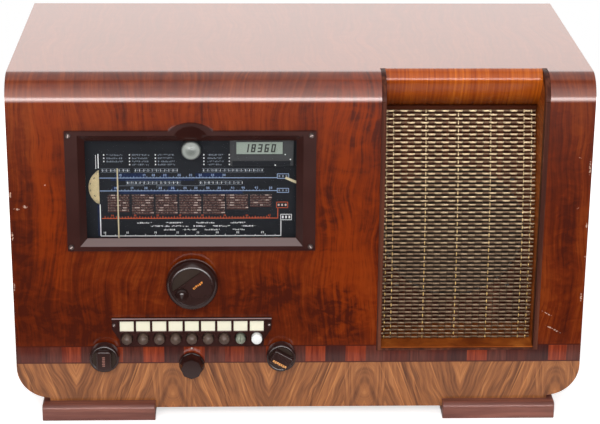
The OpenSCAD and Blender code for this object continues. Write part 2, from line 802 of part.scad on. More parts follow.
module band_pointer() {
    color([0.9, 0.9, 0.86]) from_face() translate([pivot_x, pointer_y - 0.6, pivot_z])
        rotate([0, lever_angle, 0]) difference() {
            union() {
                rod_y(0, 0, 0, 1.2, 4.5);
                block([-lever_l, 0, -1.2], [-3, 1.2, 1.2]);
            }
            rod_y(0, 0, -over, 2 + over, pivot_r + run_gap);
        }
}

module dial_lamps() {
    color([0.9, 0.85, 0.6]) from_face() for (x = [dial_x - 77, dial_x + 77]) {
        rod_y(x, eye_z + 4, frame_y - 7, frame_y, 6);
        rod_y(x, eye_z + 4, frame_y - 14, frame_y - 7, 4);
        translate([x, frame_y - 15, eye_z + 4]) sphere(r = 5);
    }
}

// Heading of the straight run between two pulleys that turn clockwise seen from the front
function heading(a, b) =
    atan2(b[1] - a[1], b[0] - a[0]) + asin((b[2] - a[2]) / norm([b[0] - a[0], b[1] - a[1]]));

// Line of a cord round pulleys [x, z, radius], as points that leave the round by sag at most
function belt_line(pulleys, sag) = let (n = len(pulleys)) [for (i = [0:n - 1]) let (
        here = pulleys[i],
        a_in = heading(pulleys[(i + n - 1) % n], here) + 90,
        a_out = heading(here, pulleys[(i + 1) % n]) + 90,
        sweep = (a_in - a_out) - 360 * floor((a_in - a_out) / 360),
        steps = ceil(sweep / (2 * acos(1 - sag / here[2]))))
    for (j = [0:steps]) let (a = a_in - sweep * j / steps)
        [here[0] + here[2] * cos(a), here[1] + here[2] * sin(a)]];

// A closed cord round pulleys, drawn with a square section
module cord_loop(pulleys, y) {
    along_y(y - cord_d / 2, cord_d) difference() {
        polygon(belt_line([for (p = pulleys) p + [0, 0, cord_d / 2]], cord_sag));
        polygon(belt_line([for (p = pulleys) p - [0, 0, cord_d / 2]], cord_sag));
    }
}

module drive_cord() {
    color([0.75, 0.7, 0.55]) from_face() {
        cord_loop([[spindle_x, tune_z, spindle_r], [post_x, post_z, post_r], [drum_x, drum_z, drum_r]], cord_y);
        cord_loop([[spindle_x, tune_z, spindle_r], [disc_x, disc_z, hub_r]], belt_y);
    }
}

module button_strip() {
    color(bakelite) from_face() difference() {
        union() {
            along_y(-strip_t, strip_t) polygon([[strip_x0, strip_z1], [strip_x1, strip_z1], [strip_x1, strip_z1 - 12],
                [strip_x1 - 7.5, strip_z0 + 8], [strip_x1 - 8.5, strip_z0], [strip_x0 + 8.5, strip_z0],
                [strip_x0 + 7.5, strip_z0 + 8], [strip_x0, strip_z1 - 12]]);
            block([strip_x0, -strip_t - strip_lip, strip_z1 - 2.2], [strip_x1, -strip_t, strip_z1]);
        }
        for (i = [0:8]) {
            rod_y(key_x0 + i * key_pitch, key_z, -strip_t - over, over, key_hole_r);
            block([key_x0 + i * key_pitch - label_w / 2 - 0.2, -strip_t - over, label_z - 0.2],
                  [key_x0 + i * key_pitch + label_w / 2 + 0.2, label_t + 0.9 - strip_t, label_z + label_h + 0.2]);
        }
        screw_holes(strip_screws, -strip_t - over, over);
    }
}

module button_labels() {
    color(cream) from_face() for (i = [0:8])
        block([key_x0 + i * key_pitch - label_w / 2, 0.9 - strip_t, label_z],
              [key_x0 + i * key_pitch + label_w / 2, 0.9 - strip_t + label_t, label_z + label_h]);
}

// Cap and stem of one button: seven dark caps, one bare slotted plunger, one white cap
module push_button(i) {
    x = key_x0 + (i - 1) * key_pitch;
    bare = i == 8;
    cap_r = bare ? key_r - 0.6 : key_r;
    tone = bare ? [0.5, 0.53, 0.5] : i == 9 ? [0.93, 0.94, 0.92] : [0.27, 0.2, 0.18];
    color(tone) from_face() {
        difference() {
            turned_y(x, key_z) intersection() {
                translate([0, -key_proud]) square([cap_r, key_proud + 2]);
                union() {
                    translate([0, 1.6 * cap_r - key_proud]) circle(r = 1.6 * cap_r);
                    translate([0, 3 - key_proud]) square([cap_r, key_proud]);
                }
            }
            if (bare) block([x - 0.6, -key_proud - over, key_z - 2 * cap_r],
                            [x + 0.6, 2.5 - key_proud, key_z + 2 * cap_r]);
        }
        rod_y(x, key_z, 2, stem_back, key_stem_r);
    }
}

module button_switch_bank() {
    color([0.5, 0.46, 0.4]) from_face() difference() {
        block([key_x0 - 8, bank_y, key_z - 12], [key_x0 + 8 * key_pitch + 8, bank_y + bank_d, deck_z - sheet_t]);
        for (i = [0:8])
            rod_y(key_x0 + i * key_pitch, key_z, bank_y - over, stem_back + key_travel + 2, key_stem_r + run_gap);
    }
}

// Bore of a knob for its shaft
module shaft_bore(x, z, y0) {
    rod_y(x, z, y0, 0, shaft_r);
}

module tuning_knob() {
    face = knob_gap + 12.5;
    color(bakelite) from_face() difference() {
        union() {
            turned_y(spindle_x, tune_z) polygon([[0, -knob_gap], [tune_r - 3, -knob_gap], [tune_r, -knob_gap - 5],
                [tune_r, -knob_gap - 8], [tune_r - 2, -knob_gap - 10], [tune_r - 5, -knob_gap - 11],
                [tune_r - 6.5, -face], [0, -face]]);
            translate([spindle_x, 0, tune_z]) rotate([0, -37, 0]) {
                block([3 - tune_r, -face - 2.5, -7], [tune_r - 8, 0.5 - face, 7]);
                rod_y(3 + 7 - tune_r, 0, -face - 2.5, 0.5 - face, 7);
            }
        }
        translate([spindle_x, 0, tune_z]) rotate([0, -37, 0]) translate([11.2 - tune_r, -face - 4, 0])
            sphere(r = finger_r);
        shaft_bore(spindle_x, tune_z, -10);
    }
}

module tuning_spindle() {
    groove = spindle_r - cord_d / 2 - seat_gap;
    color(steel) from_face() {
        rod_y(spindle_x, tune_z, -10, chassis_y + 14, shaft_r);
        for (y = [cord_y, belt_y]) turned_y(spindle_x, tune_z) polygon([[0, y - 2.6], [spindle_r + 1, y - 2.6],
            [spindle_r + 1, y - 1.8], [groove, y - 1.8], [groove, y + 1.8], [spindle_r + 1, y + 1.8],
            [spindle_r + 1, y + 2.6], [0, y + 2.6]]);
    }
}

// An outer knob: round flange and an upright bar grip turned by the given angle
module bar_knob(x, turn) {
    color(bakelite) from_face() difference() {
        union() {
            turned_y(x, side_z) polygon([[0, -knob_gap], [side_r, -knob_gap], [side_r, -5], [side_r - 1.5, -6.5],
                [side_r - 4, -7], [side_r - 5, 4 - knob_proud], [0, 4 - knob_proud]]);
            translate([x, 0, side_z]) rotate([0, turn, 0]) intersection() {
                block([-grip_half, -knob_proud, -grip_r], [grip_half, -4, grip_r]);
                rod_y(0, 0, -knob_proud, 0, grip_r);
            }
        }
        shaft_bore(x, side_z, -10);
    }
}

module control_shaft(x, z) {
    color(steel) from_face() rod_y(x, z, -10, chassis_y + 12, shaft_r);
}

module tone_knob() {
    front = knob_proud - 2;
    color(bakelite) from_face() difference() {
        union() {
            turned_y(tone_x, tone_z) polygon([[0, -knob_gap], [tone_r, -knob_gap], [tone_r, -4], [0, -4]]);
            translate([tone_x, -3, tone_z]) rotate([90, 0, 0]) rotate([0, 0, 22.5])
                cylinder(r1 = tone_r * 1.02, r2 = tone_r * 0.8, h = front - 3, $fn = 8);
        }
        shaft_bore(tone_x, tone_z, -10);
    }
}

// Body, bush and nut of one control behind the chassis front
module control_body(x, z, r, l) {
    inner = chassis_y + sheet_t;
    difference() {
        union() {
            rod_y(x, z, inner, inner + l, r);
            rod_y(x, z, chassis_y - bush_l, inner, bush_r);
            rod_y(x, z, chassis_y - 3, chassis_y, bush_r + 3);
        }
        rod_y(x, z, chassis_y - bush_l - over, chassis_y + 13, shaft_r + run_gap);
    }
}

module front_controls() {
    color([0.45, 0.45, 0.43]) from_face() {
        control_body(volume_x, side_z, pot_r, pot_l);
        control_body(tone_x, tone_z, pot_r, pot_l);
        control_body(waveband_x, side_z, switch_r, pot_l + 22);
    }
}

module chassis() {
    z0 = board_top;
    t = sheet_t;
    color([0.6, 0.6, 0.58]) from_face() difference() {
        block([chassis_x0, chassis_y, z0], [chassis_x1, chassis_y1, deck_z]);
        block([chassis_x0 + t, chassis_y + t, z0 + t], [chassis_x1 - t, chassis_y1 - t, deck_z - t]);
        block([chassis_x0 + 18, chassis_y + 18, z0 - over], [chassis_x1 - 18, chassis_y1 - 18, z0 + 2 * t]);
        control_holes(chassis_y - over, chassis_y + 2 * t, bush_r);
        for (i = [0:8]) rod_y(key_x0 + i * key_pitch, key_z, chassis_y - over, chassis_y + 2 * t, key_stem_r + 0.6);
        for (v = valves) translate([v[0], v[1], deck_z - 2 * t]) cylinder(r = 11, h = 4 * t);
        for (s = sockets) rod_y(s[0], s[1], chassis_y1 - 2 * t, chassis_y1 + over, socket_r + socket_wall);
        rod_y(grommet[0], grommet[1], chassis_y1 - 2 * t, chassis_y1 + over, 6);
        for (p = chassis_bolts) translate([p[0], p[1], z0 - over]) cylinder(r = bolt_r + screw_gap, h = 3 * t);
    }
}

module tuning_gang_frame() {
    color([0.62, 0.63, 0.62]) from_face() difference() {
        union() {
            for (y = [gang_y0, gang_y0 + gang_l - 2])
                block([drum_x - gang_half, y, deck_z], [drum_x + gang_half, y + 2, gang_top]);
            block([drum_x - gang_half, gang_y0, deck_z], [drum_x + gang_half, gang_y0 + gang_l, deck_z + 2]);
            for (s = [-1, 1]) rod_y(drum_x + s * 24, drum_z + 30, gang_y0, gang_y0 + gang_l, 1.8);
            for (i = [0:vanes - 2]) block([drum_x - 25.5, gang_y0 + 9.5 + i * vane_pitch, drum_z + 1],
                [drum_x + 25.5, gang_y0 + 9.5 + i * vane_pitch + vane_t, drum_z + 31]);
        }
        rod_y(drum_x, drum_z, gang_y0 - over, gang_y0 + gang_l + over, rotor_r + run_gap);
        rod_y(drum_x, drum_z, gang_y0 + 3, gang_y0 + gang_l - 3, rotor_r + 3);
    }
}

module tuning_gang_rotor() {
    groove = drum_r - cord_d / 2 - seat_gap;
    rim = drum_r + drum_flange;
    color([0.7, 0.7, 0.68]) from_face() {
        rod_y(drum_x, drum_z, cord_y - 2, gang_y0 + gang_l + 2, rotor_r);
        turned_y(drum_x, drum_z) polygon([[0, cord_y - 0.8], [drum_r - 3, cord_y - 0.8], [drum_r - 3, cord_y - 2.2],
            [rim, cord_y - 2.2], [rim, cord_y - 1.4], [groove, cord_y - 1.4], [groove, cord_y + 1.4],
            [rim, cord_y + 1.4], [rim, cord_y + 2.2], [drum_r - 3, cord_y + 2.2], [drum_r - 3, cord_y + 0.8],
            [0, cord_y + 0.8]]);
        translate([drum_x, 0, drum_z]) rotate([0, rest_turn, 0]) for (i = [0:vanes - 1]) intersection() {
            rod_y(0, 0, gang_y0 + 7.5 + i * vane_pitch, gang_y0 + 7.5 + i * vane_pitch + vane_t, vane_r);
            block([-vane_r, gang_y0, -1], [vane_r, gang_y0 + gang_l, vane_r]);
        }
    }
}

module mains_transformer() {
    x0 = chassis_x0 + 10;
    x1 = x0 + transformer_w;
    y1 = chassis_y1 - 22;
    y0 = y1 - transformer_d;
    color([0.28, 0.27, 0.26]) from_face() {
        block([x0, y0, deck_z], [x1, y1, deck_z + 3]);
        block([x0 + 4, y0 + 16, deck_z + 3], [x1 - 4, y1 - 16, deck_z + transformer_h]);
        block([x0 + 18, y0 + 4, deck_z + 12], [x1 - 18, y1 - 4, deck_z + transformer_h - 9]);
    }
}

module screening_cans() {
    color([0.75, 0.76, 0.77]) from_face() for (c = cans) translate([c[0], c[1], deck_z]) {
        cylinder(r = c[2], h = c[3] - 4);
        cylinder(r = c[2] - 3, h = c[3]);
        cylinder(r = c[2] + 3, h = 2);
    }
}

module valve_bases() {
    color([0.2, 0.13, 0.1]) from_face() for (v = valves) translate([v[0], v[1], deck_z]) {
        cylinder(r = 16, h = 2);
        cylinder(r = 14, h = socket_h + 14);
        translate([0, 0, -6]) cylinder(r = 10.5, h = 8);
    }
}

module valve_bulbs() {
    z0 = deck_z + socket_h + 14;
    color([0.75, 0.78, 0.78, 0.5]) from_face() for (v = valves) translate([v[0], v[1], z0]) {
        h = v[3] - socket_h - 14;
        cylinder(r = 12.5, h = h - v[2]);
        translate([0, 0, v[2] + 4]) cylinder(r = v[2], h = h - 2 * v[2] - 8);
        translate([0, 0, v[2] + 4]) sphere(r = v[2]);
        translate([0, 0, h - v[2] - 4]) sphere(r = v[2]);
    }
}

module rear_terminals() {
    low = sockets[0][1];
    color([0.3, 0.2, 0.13]) from_face() {
        difference() {
            union() {
                block([sockets[0][0] - 12, chassis_y1, low - 12], [sockets[3][0] + 12, chassis_y1 + 2, low + 12]);
                for (s = sockets) rod_y(s[0], s[1], chassis_y1 - 6, chassis_y1 + 10, socket_r + socket_wall);
            }
            for (s = sockets) rod_y(s[0], s[1], chassis_y1 - 7, chassis_y1 + 11, socket_r);
        }
        turned_y(grommet[0], grommet[1]) difference() {
            translate([4, chassis_y1 - 4]) square([5, 7]);
            translate([6, chassis_y1 - sheet_t]) square([4, sheet_t]);
        }
    }
}

front_top_panel();
left_side();
right_side();
bottom_board();
cabinet_battens();
foot(-1);  // foot_left
foot(1);  // foot_right
inlay_band();
back_cover();
panel_screws();
bay_bead();
bay_cornice();
bay_lining();
baffle_board();
grille_mesh();
speaker_basket();
speaker_cone();
speaker_magnet();
output_transformer();
frame_bolts();
dial_bezel();
dial_glass();
scale_plate();
dial_frame();
tuning_eye();
frequency_display();
logging_disc();
dial_pointer();
band_pointer();
dial_lamps();
drive_cord();
button_strip();
button_labels();
for (i = [1:9]) push_button(i);
button_switch_bank();
tuning_knob();
tuning_spindle();
bar_knob(volume_x, 0);  // volume_knob
control_shaft(volume_x, side_z);  // volume_shaft
tone_knob();
control_shaft(tone_x, tone_z);  // tone_shaft
bar_knob(waveband_x, -60);  // waveband_knob
control_shaft(waveband_x, side_z);  // waveband_shaft
front_controls();
chassis();
tuning_gang_frame();
tuning_gang_rotor();
mains_transformer();
screening_cans();
valve_bulbs();
valve_bases();
rear_terminals();
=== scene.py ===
"""A push-button table radio of the late nineteen-thirties, dressed over its CAD frame.

Sizes are millimetres in the face frame: x across from the middle of the cabinet, y back from the front face, z up
from the table. metres() turns them into the shared frame.
"""

import json
import logging
from dataclasses import dataclass
from enum import Enum
from typing import Sequence

import bmesh
import bpy
import numpy as np
from mathutils import Matrix, Vector

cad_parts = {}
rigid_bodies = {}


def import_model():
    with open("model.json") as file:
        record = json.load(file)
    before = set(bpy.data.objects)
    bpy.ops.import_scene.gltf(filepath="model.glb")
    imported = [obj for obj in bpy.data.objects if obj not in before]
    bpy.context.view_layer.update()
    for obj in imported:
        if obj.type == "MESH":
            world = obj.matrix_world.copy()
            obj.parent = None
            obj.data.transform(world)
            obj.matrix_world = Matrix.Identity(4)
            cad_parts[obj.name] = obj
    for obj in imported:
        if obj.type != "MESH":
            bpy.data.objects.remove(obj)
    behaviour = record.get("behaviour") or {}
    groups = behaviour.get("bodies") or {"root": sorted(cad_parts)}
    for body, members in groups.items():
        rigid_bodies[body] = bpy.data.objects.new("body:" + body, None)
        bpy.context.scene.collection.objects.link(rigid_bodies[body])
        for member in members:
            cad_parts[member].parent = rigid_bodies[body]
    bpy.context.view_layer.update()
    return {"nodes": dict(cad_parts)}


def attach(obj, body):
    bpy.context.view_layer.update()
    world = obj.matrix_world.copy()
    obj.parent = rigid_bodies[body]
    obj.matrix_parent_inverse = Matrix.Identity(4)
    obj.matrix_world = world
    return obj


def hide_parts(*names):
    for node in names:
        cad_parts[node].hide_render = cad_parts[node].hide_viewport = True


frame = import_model()

logging.basicConfig(level=logging.INFO, format="%(name)s: %(message)s")
LOG = logging.getLogger("radio")
Socket = bpy.types.NodeSocket

MM = 0.001
SHARP = 32.0  # degrees past which an edge of a CAD piece is sharp, and is rounded
FLAT = 0.6  # degrees up to which neighbouring faces of a CAD piece become one
FACE_Y = 148.0  # the front face stands this far before the middle of the frame

# Cabinet
ROLL_R = 26.0
ROLL_Z = 350.0
INLAY_Z = (61.7, 82.0)
# Speaker bay
BAY_X = (86.5, 248.5)
BAY_Z = 79.2
MESH_TOP = 330.8
MESH_Y = 21.0
LEAN_Z = 140.0
# Dial: the plate's face, print on it, print that other print lies over, the axes of the eye and the disc
PRINT_Y = 13.9
INK_Y = PRINT_Y - 0.03
UNDER_Y = PRINT_Y + 0.02
EYE = (-113.0, 296.2)
DISC = (-206.2, 254.5)
# Knobs: x and z of each axis, and the turn in degrees of what is raised on the knob
TUNING = (-113.0, 155.0, 37.0)
VOLUME = (-206.3, 72.0, 0.0)
WAVEBAND = (-19.7, 72.0, 60.0)
TONE = (-114.4, 61.5, 0.0)


def metres(points: Sequence[float] | np.ndarray) -> np.ndarray:
    """Turns face-frame millimetres into the shared frame.

    Args:
        points: one point or an array of points, last axis x, y, z.

    Returns:
        The same points in metres, with y measured from the frame's middle.
    """
    out = np.array(points, dtype=float)
    out[..., 1] -= FACE_Y
    return out * MM


def srgb(red: float, green: float, blue: float) -> tuple[float, float, float, float]:
    """Linear colour of an 8-bit screen colour.

    Args:
        red, green, blue: screen values from 0 to 255.

    Returns:
        The linear colour with alpha 1.
    """
    c = np.array([red, green, blue]) / 255.0
    lin = np.where(c <= 0.04045, c / 12.92, ((c + 0.055) / 1.055) ** 2.4)
    return (float(lin[0]), float(lin[1]), float(lin[2]), 1.0)


def rows_of(*parts: float | np.ndarray) -> np.ndarray:
    """Rows such as (x0, z0, x1, z1) or (x, y, z), where each part is one value or an array of them."""
    return np.stack(np.broadcast_arrays(*parts), axis=-1)


class Shape:
    """Gathers surfaces in face-frame millimetres and makes one object of them."""

    def __init__(self) -> None:
        self.points: list[np.ndarray] = []
        self.faces: list[list[int]] = []
        self.paint: list[int] = []
        self.count = 0

    def _add(self, points: np.ndarray, faces: np.ndarray, paint: int | np.ndarray) -> None:
        """Adds points and the faces over them, with one material slot or one per face."""
        self.points.append(np.asarray(points, dtype=float).reshape(-1, 3))
        self.faces += (np.asarray(faces) + self.count).tolist()
        self.paint += np.broadcast_to(paint, len(faces)).tolist()
        self.count += len(self.points[-1])

    def loft(self, pts: np.ndarray, paint: int = 0) -> None:
        """A surface of four-sided faces over closed rings of points, shape (rings, points in a ring, 3)."""
        n, m = pts.shape[:2]
        i, j = np.arange(n - 1)[:, None] * m, np.arange(m)[None, :]
        j2 = (j + 1) % m
        quads = np.stack([i + j, i + m + j, i + m + j2, i + j2], axis=-1).reshape(-1, 4)
        self._add(pts, quads, paint)

    def cap(self, ring: np.ndarray, paint: int = 0) -> None:
        """One flat face over a ring of points."""
        self._add(ring, np.arange(len(ring))[None, :], paint)

    def boxes(self, low: np.ndarray | Sequence, high: np.ndarray | Sequence, paint: int = 0) -> None:
        """Many blocks at once, each between a low and a high corner of shape (k, 3)."""
        low, high = np.asarray(low, dtype=float), np.asarray(high, dtype=float)
        pick = np.array([[i, j, k] for i in (0, 1) for j in (0, 1) for k in (0, 1)])
        pts = np.where(pick[None], high[:, None, :], low[:, None, :])
        quads = np.array([[0, 1, 3, 2], [4, 6, 7, 5], [0, 4, 5, 1], [2, 3, 7, 6], [0, 2, 6, 4], [1, 5, 7, 3]])
        faces = (np.arange(len(low))[:, None, None] * 8 + quads[None]).reshape(-1, 4)
        self._add(pts, faces, paint)

    def plates(self, outlines: np.ndarray, y0: float, y1: float, paint: int = 0) -> None:
        """Many thin four-cornered plates at once, with (x, z) outlines of shape (k, 4, 2), from y0 to y1."""
        flat = np.stack([outlines, outlines], axis=1)
        depth = np.broadcast_to(np.array([y0, y1])[None, :, None], flat.shape[:3])
        pts = np.stack([flat[..., 0], depth, flat[..., 1]], axis=-1)
        quads = np.array([[0, 1, 2, 3], [4, 5, 6, 7], [0, 1, 5, 4], [1, 2, 6, 5], [2, 3, 7, 6], [3, 0, 4, 7]])
        self._add(pts, (np.arange(len(flat))[:, None, None] * 8 + quads).reshape(-1, 4), paint)

    def lathe(self, profile: np.ndarray, x: float, z: float, sides: int = 64, paint: int = 0) -> None:
        """A round body about the line at (x, z) along y.

        The profile's (radius, y) points turn through a full circle: each ring is x + r cos a, z + r sin a.
        A radius of nought at an end closes that end.
        """
        prof = np.asarray(profile, dtype=float)
        turn = np.linspace(0, 2 * np.pi, sides, endpoint=False)
        self.loft(rows_of(x + prof[:, :1] * np.cos(turn), prof[:, 1:2], z + prof[:, :1] * np.sin(turn)), paint)

    def tubes(self, paths: np.ndarray, radius: tuple[float, float], sides: int = 6,
              paint: int | np.ndarray = 0) -> None:
        """Wires along many paths at once.

        Each path runs mostly along one line, so every ring is an oval in the two directions square to
        the path's end-to-end line: radius[0] in y and radius[1] in the other one.

        Args:
            paths: points of shape (k, n, 3).
            radius: half thickness in y, and half width.
            sides: points of each ring.
            paint: material slot, or one per stretch between two points, shape (k, n - 1).
        """
        k, n = paths.shape[:2]
        turn = np.linspace(0, 2 * np.pi, sides, endpoint=False)
        run = paths[:, -1] - paths[:, 0]
        across = np.where(np.abs(run[:, :1]) > np.abs(run[:, 2:]), [[0.0, 0, 1]], [[1.0, 0, 0]])
        ring = (np.cos(turn)[None, :, None] * np.array([0.0, radius[0], 0]) +
                np.sin(turn)[None, :, None] * across[:, None, :] * radius[1])
        pts = paths[:, :, None, :] + ring[:, None, :, :]
        a = np.arange(n - 1)[:, None] * sides + np.arange(sides)[None, :]
        b = np.arange(n - 1)[:, None] * sides + (np.arange(sides)[None, :] + 1) % sides
        one = np.stack([a, a + sides, b + sides, b], axis=-1).reshape(-1, 4)
        faces = (np.arange(k)[:, None, None] * n * sides + one[None]).reshape(-1, 4)
        base = self.count
        self._add(pts, faces, np.repeat(np.broadcast_to(paint, (k, n - 1)), sides, axis=1).ravel())
        ends = np.arange(k)[:, None] * n * sides + np.arange(sides)[None, :]
        self.faces += (np.concatenate([ends, ends + (n - 1) * sides]) + base).tolist()
        self.paint += [0] * (2 * k)

    def build(self, name: str, finishes: Sequence["Finish"], angle: float = 35.0) -> bpy.types.Object:
        """Makes the object, with its faces turned outwards and its edges sharp past an angle.

        Args:
            name: the object's name.
            finishes: one finish per material slot.
            angle: degrees past which an edge is shown sharp.

        Returns:
            The new object, at the origin.
        """
        mesh = bpy.data.meshes.new(name)
        mesh.from_pydata(metres(np.concatenate(self.points)).tolist(), [], self.faces)
        for finish in finishes:
            mesh.materials.append(finish.material())
        mesh.polygons.foreach_set("material_index", self.paint)
        return finish_mesh(mesh, name, angle)


def finish_mesh(mesh: bpy.types.Mesh, name: str, angle: float) -> bpy.types.Object:
    """Merges doubles, turns faces outwards, sets smooth faces with sharp edges and links the object."""
    work = bmesh.new()
    work.from_mesh(mesh)
    bmesh.ops.remove_doubles(work, verts=work.verts, dist=2e-6)
    bmesh.ops.dissolve_degenerate(work, edges=work.edges, dist=1e-7)
    bmesh.ops.recalc_face_normals(work, faces=work.faces)
    work.to_mesh(mesh)
    work.free()
    mesh.polygons.foreach_set("use_smooth", [True] * len(mesh.polygons))
    mesh.set_sharp_from_angle(angle=np.radians(angle))
    mesh.update()
    made = bpy.data.objects.new(name, mesh)
    bpy.context.scene.collection.objects.link(made)
    LOG.info("made %s, %d faces", name, len(mesh.polygons))
    return made


class Graph:
    """A material's nodes, with short calls for those that the finishes share."""

    def __init__(self, name: str) -> None:
        self.mat = bpy.data.materials.new(f"{name}_look")
        self.mat.use_nodes = True
        self.tree = self.mat.node_tree
        self.tree.nodes.clear()
        self.out = self.tree.nodes.new("ShaderNodeOutputMaterial")
        self.bsdf = self.tree.nodes.new("ShaderNodeBsdfPrincipled")
        self.link(self.bsdf.outputs[0], self.out.inputs["Surface"])

    @classmethod
    def of_world(cls, world: bpy.types.World) -> "Graph":
        """The same short calls for a world's nodes."""
        g = cls.__new__(cls)
        g.tree = world.node_tree
        return g

    def curve(self, value: Socket, points: Sequence[tuple[float, float]]) -> Socket:
        """A value looked up along (from, to) points, joined by straight lines."""
        total: object = points[0][1]
        for (a, low), (b, high) in zip(points, points[1:]):
            total = self.plus(total, self.level(value, a, b, 0.0, high - low))
        return total

    def link(self, a: Socket, b: Socket) -> None:
        """Joins two sockets."""
        self.tree.links.new(a, b)

    def put(self, socket: Socket, value: object) -> None:
        """Sets a socket to a value, or joins it where the value is another socket."""
        if isinstance(value, Socket):
            self.link(value, socket)
        else:
            socket.default_value = value

    def shade(self, **values: object) -> None:
        """Sets inputs of the surface shader, an underscore standing for a space."""
        for key, value in values.items():
            self.put(self.bsdf.inputs[key.replace("_", " ")], value)

    def place(self, scale: Sequence[float] = (1, 1, 1), turn: Sequence[float] = (0, 0, 0),
              uv: bool = False) -> Socket:
        """Object or surface coordinates, turned by degrees and scaled per metre."""
        source = self.tree.nodes.new("ShaderNodeTexCoord").outputs["UV" if uv else "Object"]
        mapping = self.tree.nodes.new("ShaderNodeMapping")
        self.link(source, mapping.inputs["Vector"])
        mapping.inputs["Scale"].default_value = scale
        mapping.inputs["Rotation"].default_value = [float(np.radians(t)) for t in turn]
        return mapping.outputs[0]

    def noise(self, vector: Socket, scale: float = 1.0, detail: float = 2.0,
              rough: float = 0.5, warp: float = 0.0) -> Socket:
        """Soft noise from 0 to 1."""
        node = self.tree.nodes.new("ShaderNodeTexNoise")
        self.link(vector, node.inputs["Vector"])
        for key, value in (("Scale", scale), ("Detail", detail), ("Roughness", rough), ("Distortion", warp)):
            node.inputs[key].default_value = value
        return node.outputs["Fac"]

    def ramp(self, fac: Socket, stops: Sequence[tuple]) -> Socket:
        """A colour ramp over (position, linear colour) stops."""
        node = self.tree.nodes.new("ShaderNodeValToRGB")
        self.link(fac, node.inputs[0])
        band = node.color_ramp
        while len(band.elements) < len(stops):
            band.elements.new(0.5)
        for element, (where, colour) in zip(band.elements, stops):
            element.position = where
            element.color = colour
        return node.outputs["Color"]

    def level(self, fac: Socket, low: float, high: float, to_low: float = 0.0,
              to_high: float = 1.0) -> Socket:
        """Maps low..high onto to_low..to_high, held at the ends."""
        node = self.tree.nodes.new("ShaderNodeMapRange")
        self.link(fac, node.inputs["Value"])
        for key, value in (("From Min", low), ("From Max", high), ("To Min", to_low), ("To Max", to_high)):
            node.inputs[key].default_value = value
        return node.outputs[0]

    def maths(self, kind: str, a: object, b: object = 0.0, c: object = 0.0) -> Socket:
        """One arithmetic step."""
        node = self.tree.nodes.new("ShaderNodeMath")
        node.operation = kind
        for socket, value in zip(node.inputs, (a, b, c)):
            self.put(socket, value)
        return node.outputs[0]

    def plus(self, a: object, b: object) -> Socket:
        """The sum of two values."""
        return self.maths("ADD", a, b)

    def minus(self, a: object, b: object) -> Socket:
        """The first value less the second."""
        return self.maths("SUBTRACT", a, b)

    def times(self, a: object, b: object, add: object = None) -> Socket:
        """The product of two values, with a third one added where it is given."""
        return self.maths("MULTIPLY", a, b) if add is None else self.maths("MULTIPLY_ADD", a, b, add)

    def squares(self, a: object, b: object) -> Socket:
        """The sum of two squares."""
        return self.plus(self.times(a, a), self.times(b, b))

    def about(self, noise: object, much: object, base: object) -> Socket:
        """A base value that noise moves up and down, by so much from one end of the noise to the other."""
        return self.times(self.minus(noise, 0.5), much, base)

    def grain(self, across: object, along: object, waves: tuple[float, float], seed: float,
              detail: float = 1.0, rough: float = 0.5, warp: float = 0.0) -> Socket:
        """Noise drawn out along the grain, with its waves per metre across and along, and a seed."""
        flow = self.vector(self.times(across, waves[0]), self.times(along, waves[1]), seed)
        return self.noise(flow, 1.0, detail, rough, warp)

    def mix(self, fac: object, a: object, b: object) -> Socket:
        """Mixes two colours."""
        node = self.tree.nodes.new("ShaderNodeMix")
        node.data_type = "RGBA"
        self.put(node.inputs[0], fac)
        self.put(node.inputs[6], a)
        self.put(node.inputs[7], b)
        return node.outputs[2]

    def axes(self, vector: Socket) -> tuple:
        """The three parts of a vector."""
        node = self.tree.nodes.new("ShaderNodeSeparateXYZ")
        self.link(vector, node.inputs[0])
        return tuple(node.outputs)

    def normal(self) -> Socket:
        """The way the surface faces, in the piece's own frame."""
        return self.tree.nodes.new("ShaderNodeTexCoord").outputs["Normal"]

    def vector(self, x: object, y: object, z: object) -> Socket:
        """A vector of three parts."""
        node = self.tree.nodes.new("ShaderNodeCombineXYZ")
        for socket, value in zip(node.inputs, (x, y, z)):
            self.put(socket, value)
        return node.outputs[0]

    def bump(self, height: Socket, depth: float, strength: float = 1.0) -> Socket:
        """Small relief, depth in metres."""
        node = self.tree.nodes.new("ShaderNodeBump")
        node.inputs["Strength"].default_value = strength
        node.inputs["Distance"].default_value = depth
        self.link(height, node.inputs["Height"])
        return node.outputs[0]


MADE: dict[str, bpy.types.Material] = {}
# Pale colour of dust on upward faces, which also stands in for a painted sheen of the light from above
DUST_SHEEN_COLOUR = srgb(190, 168, 166)
BLACK = (0.0, 0.0, 0.0, 1.0)


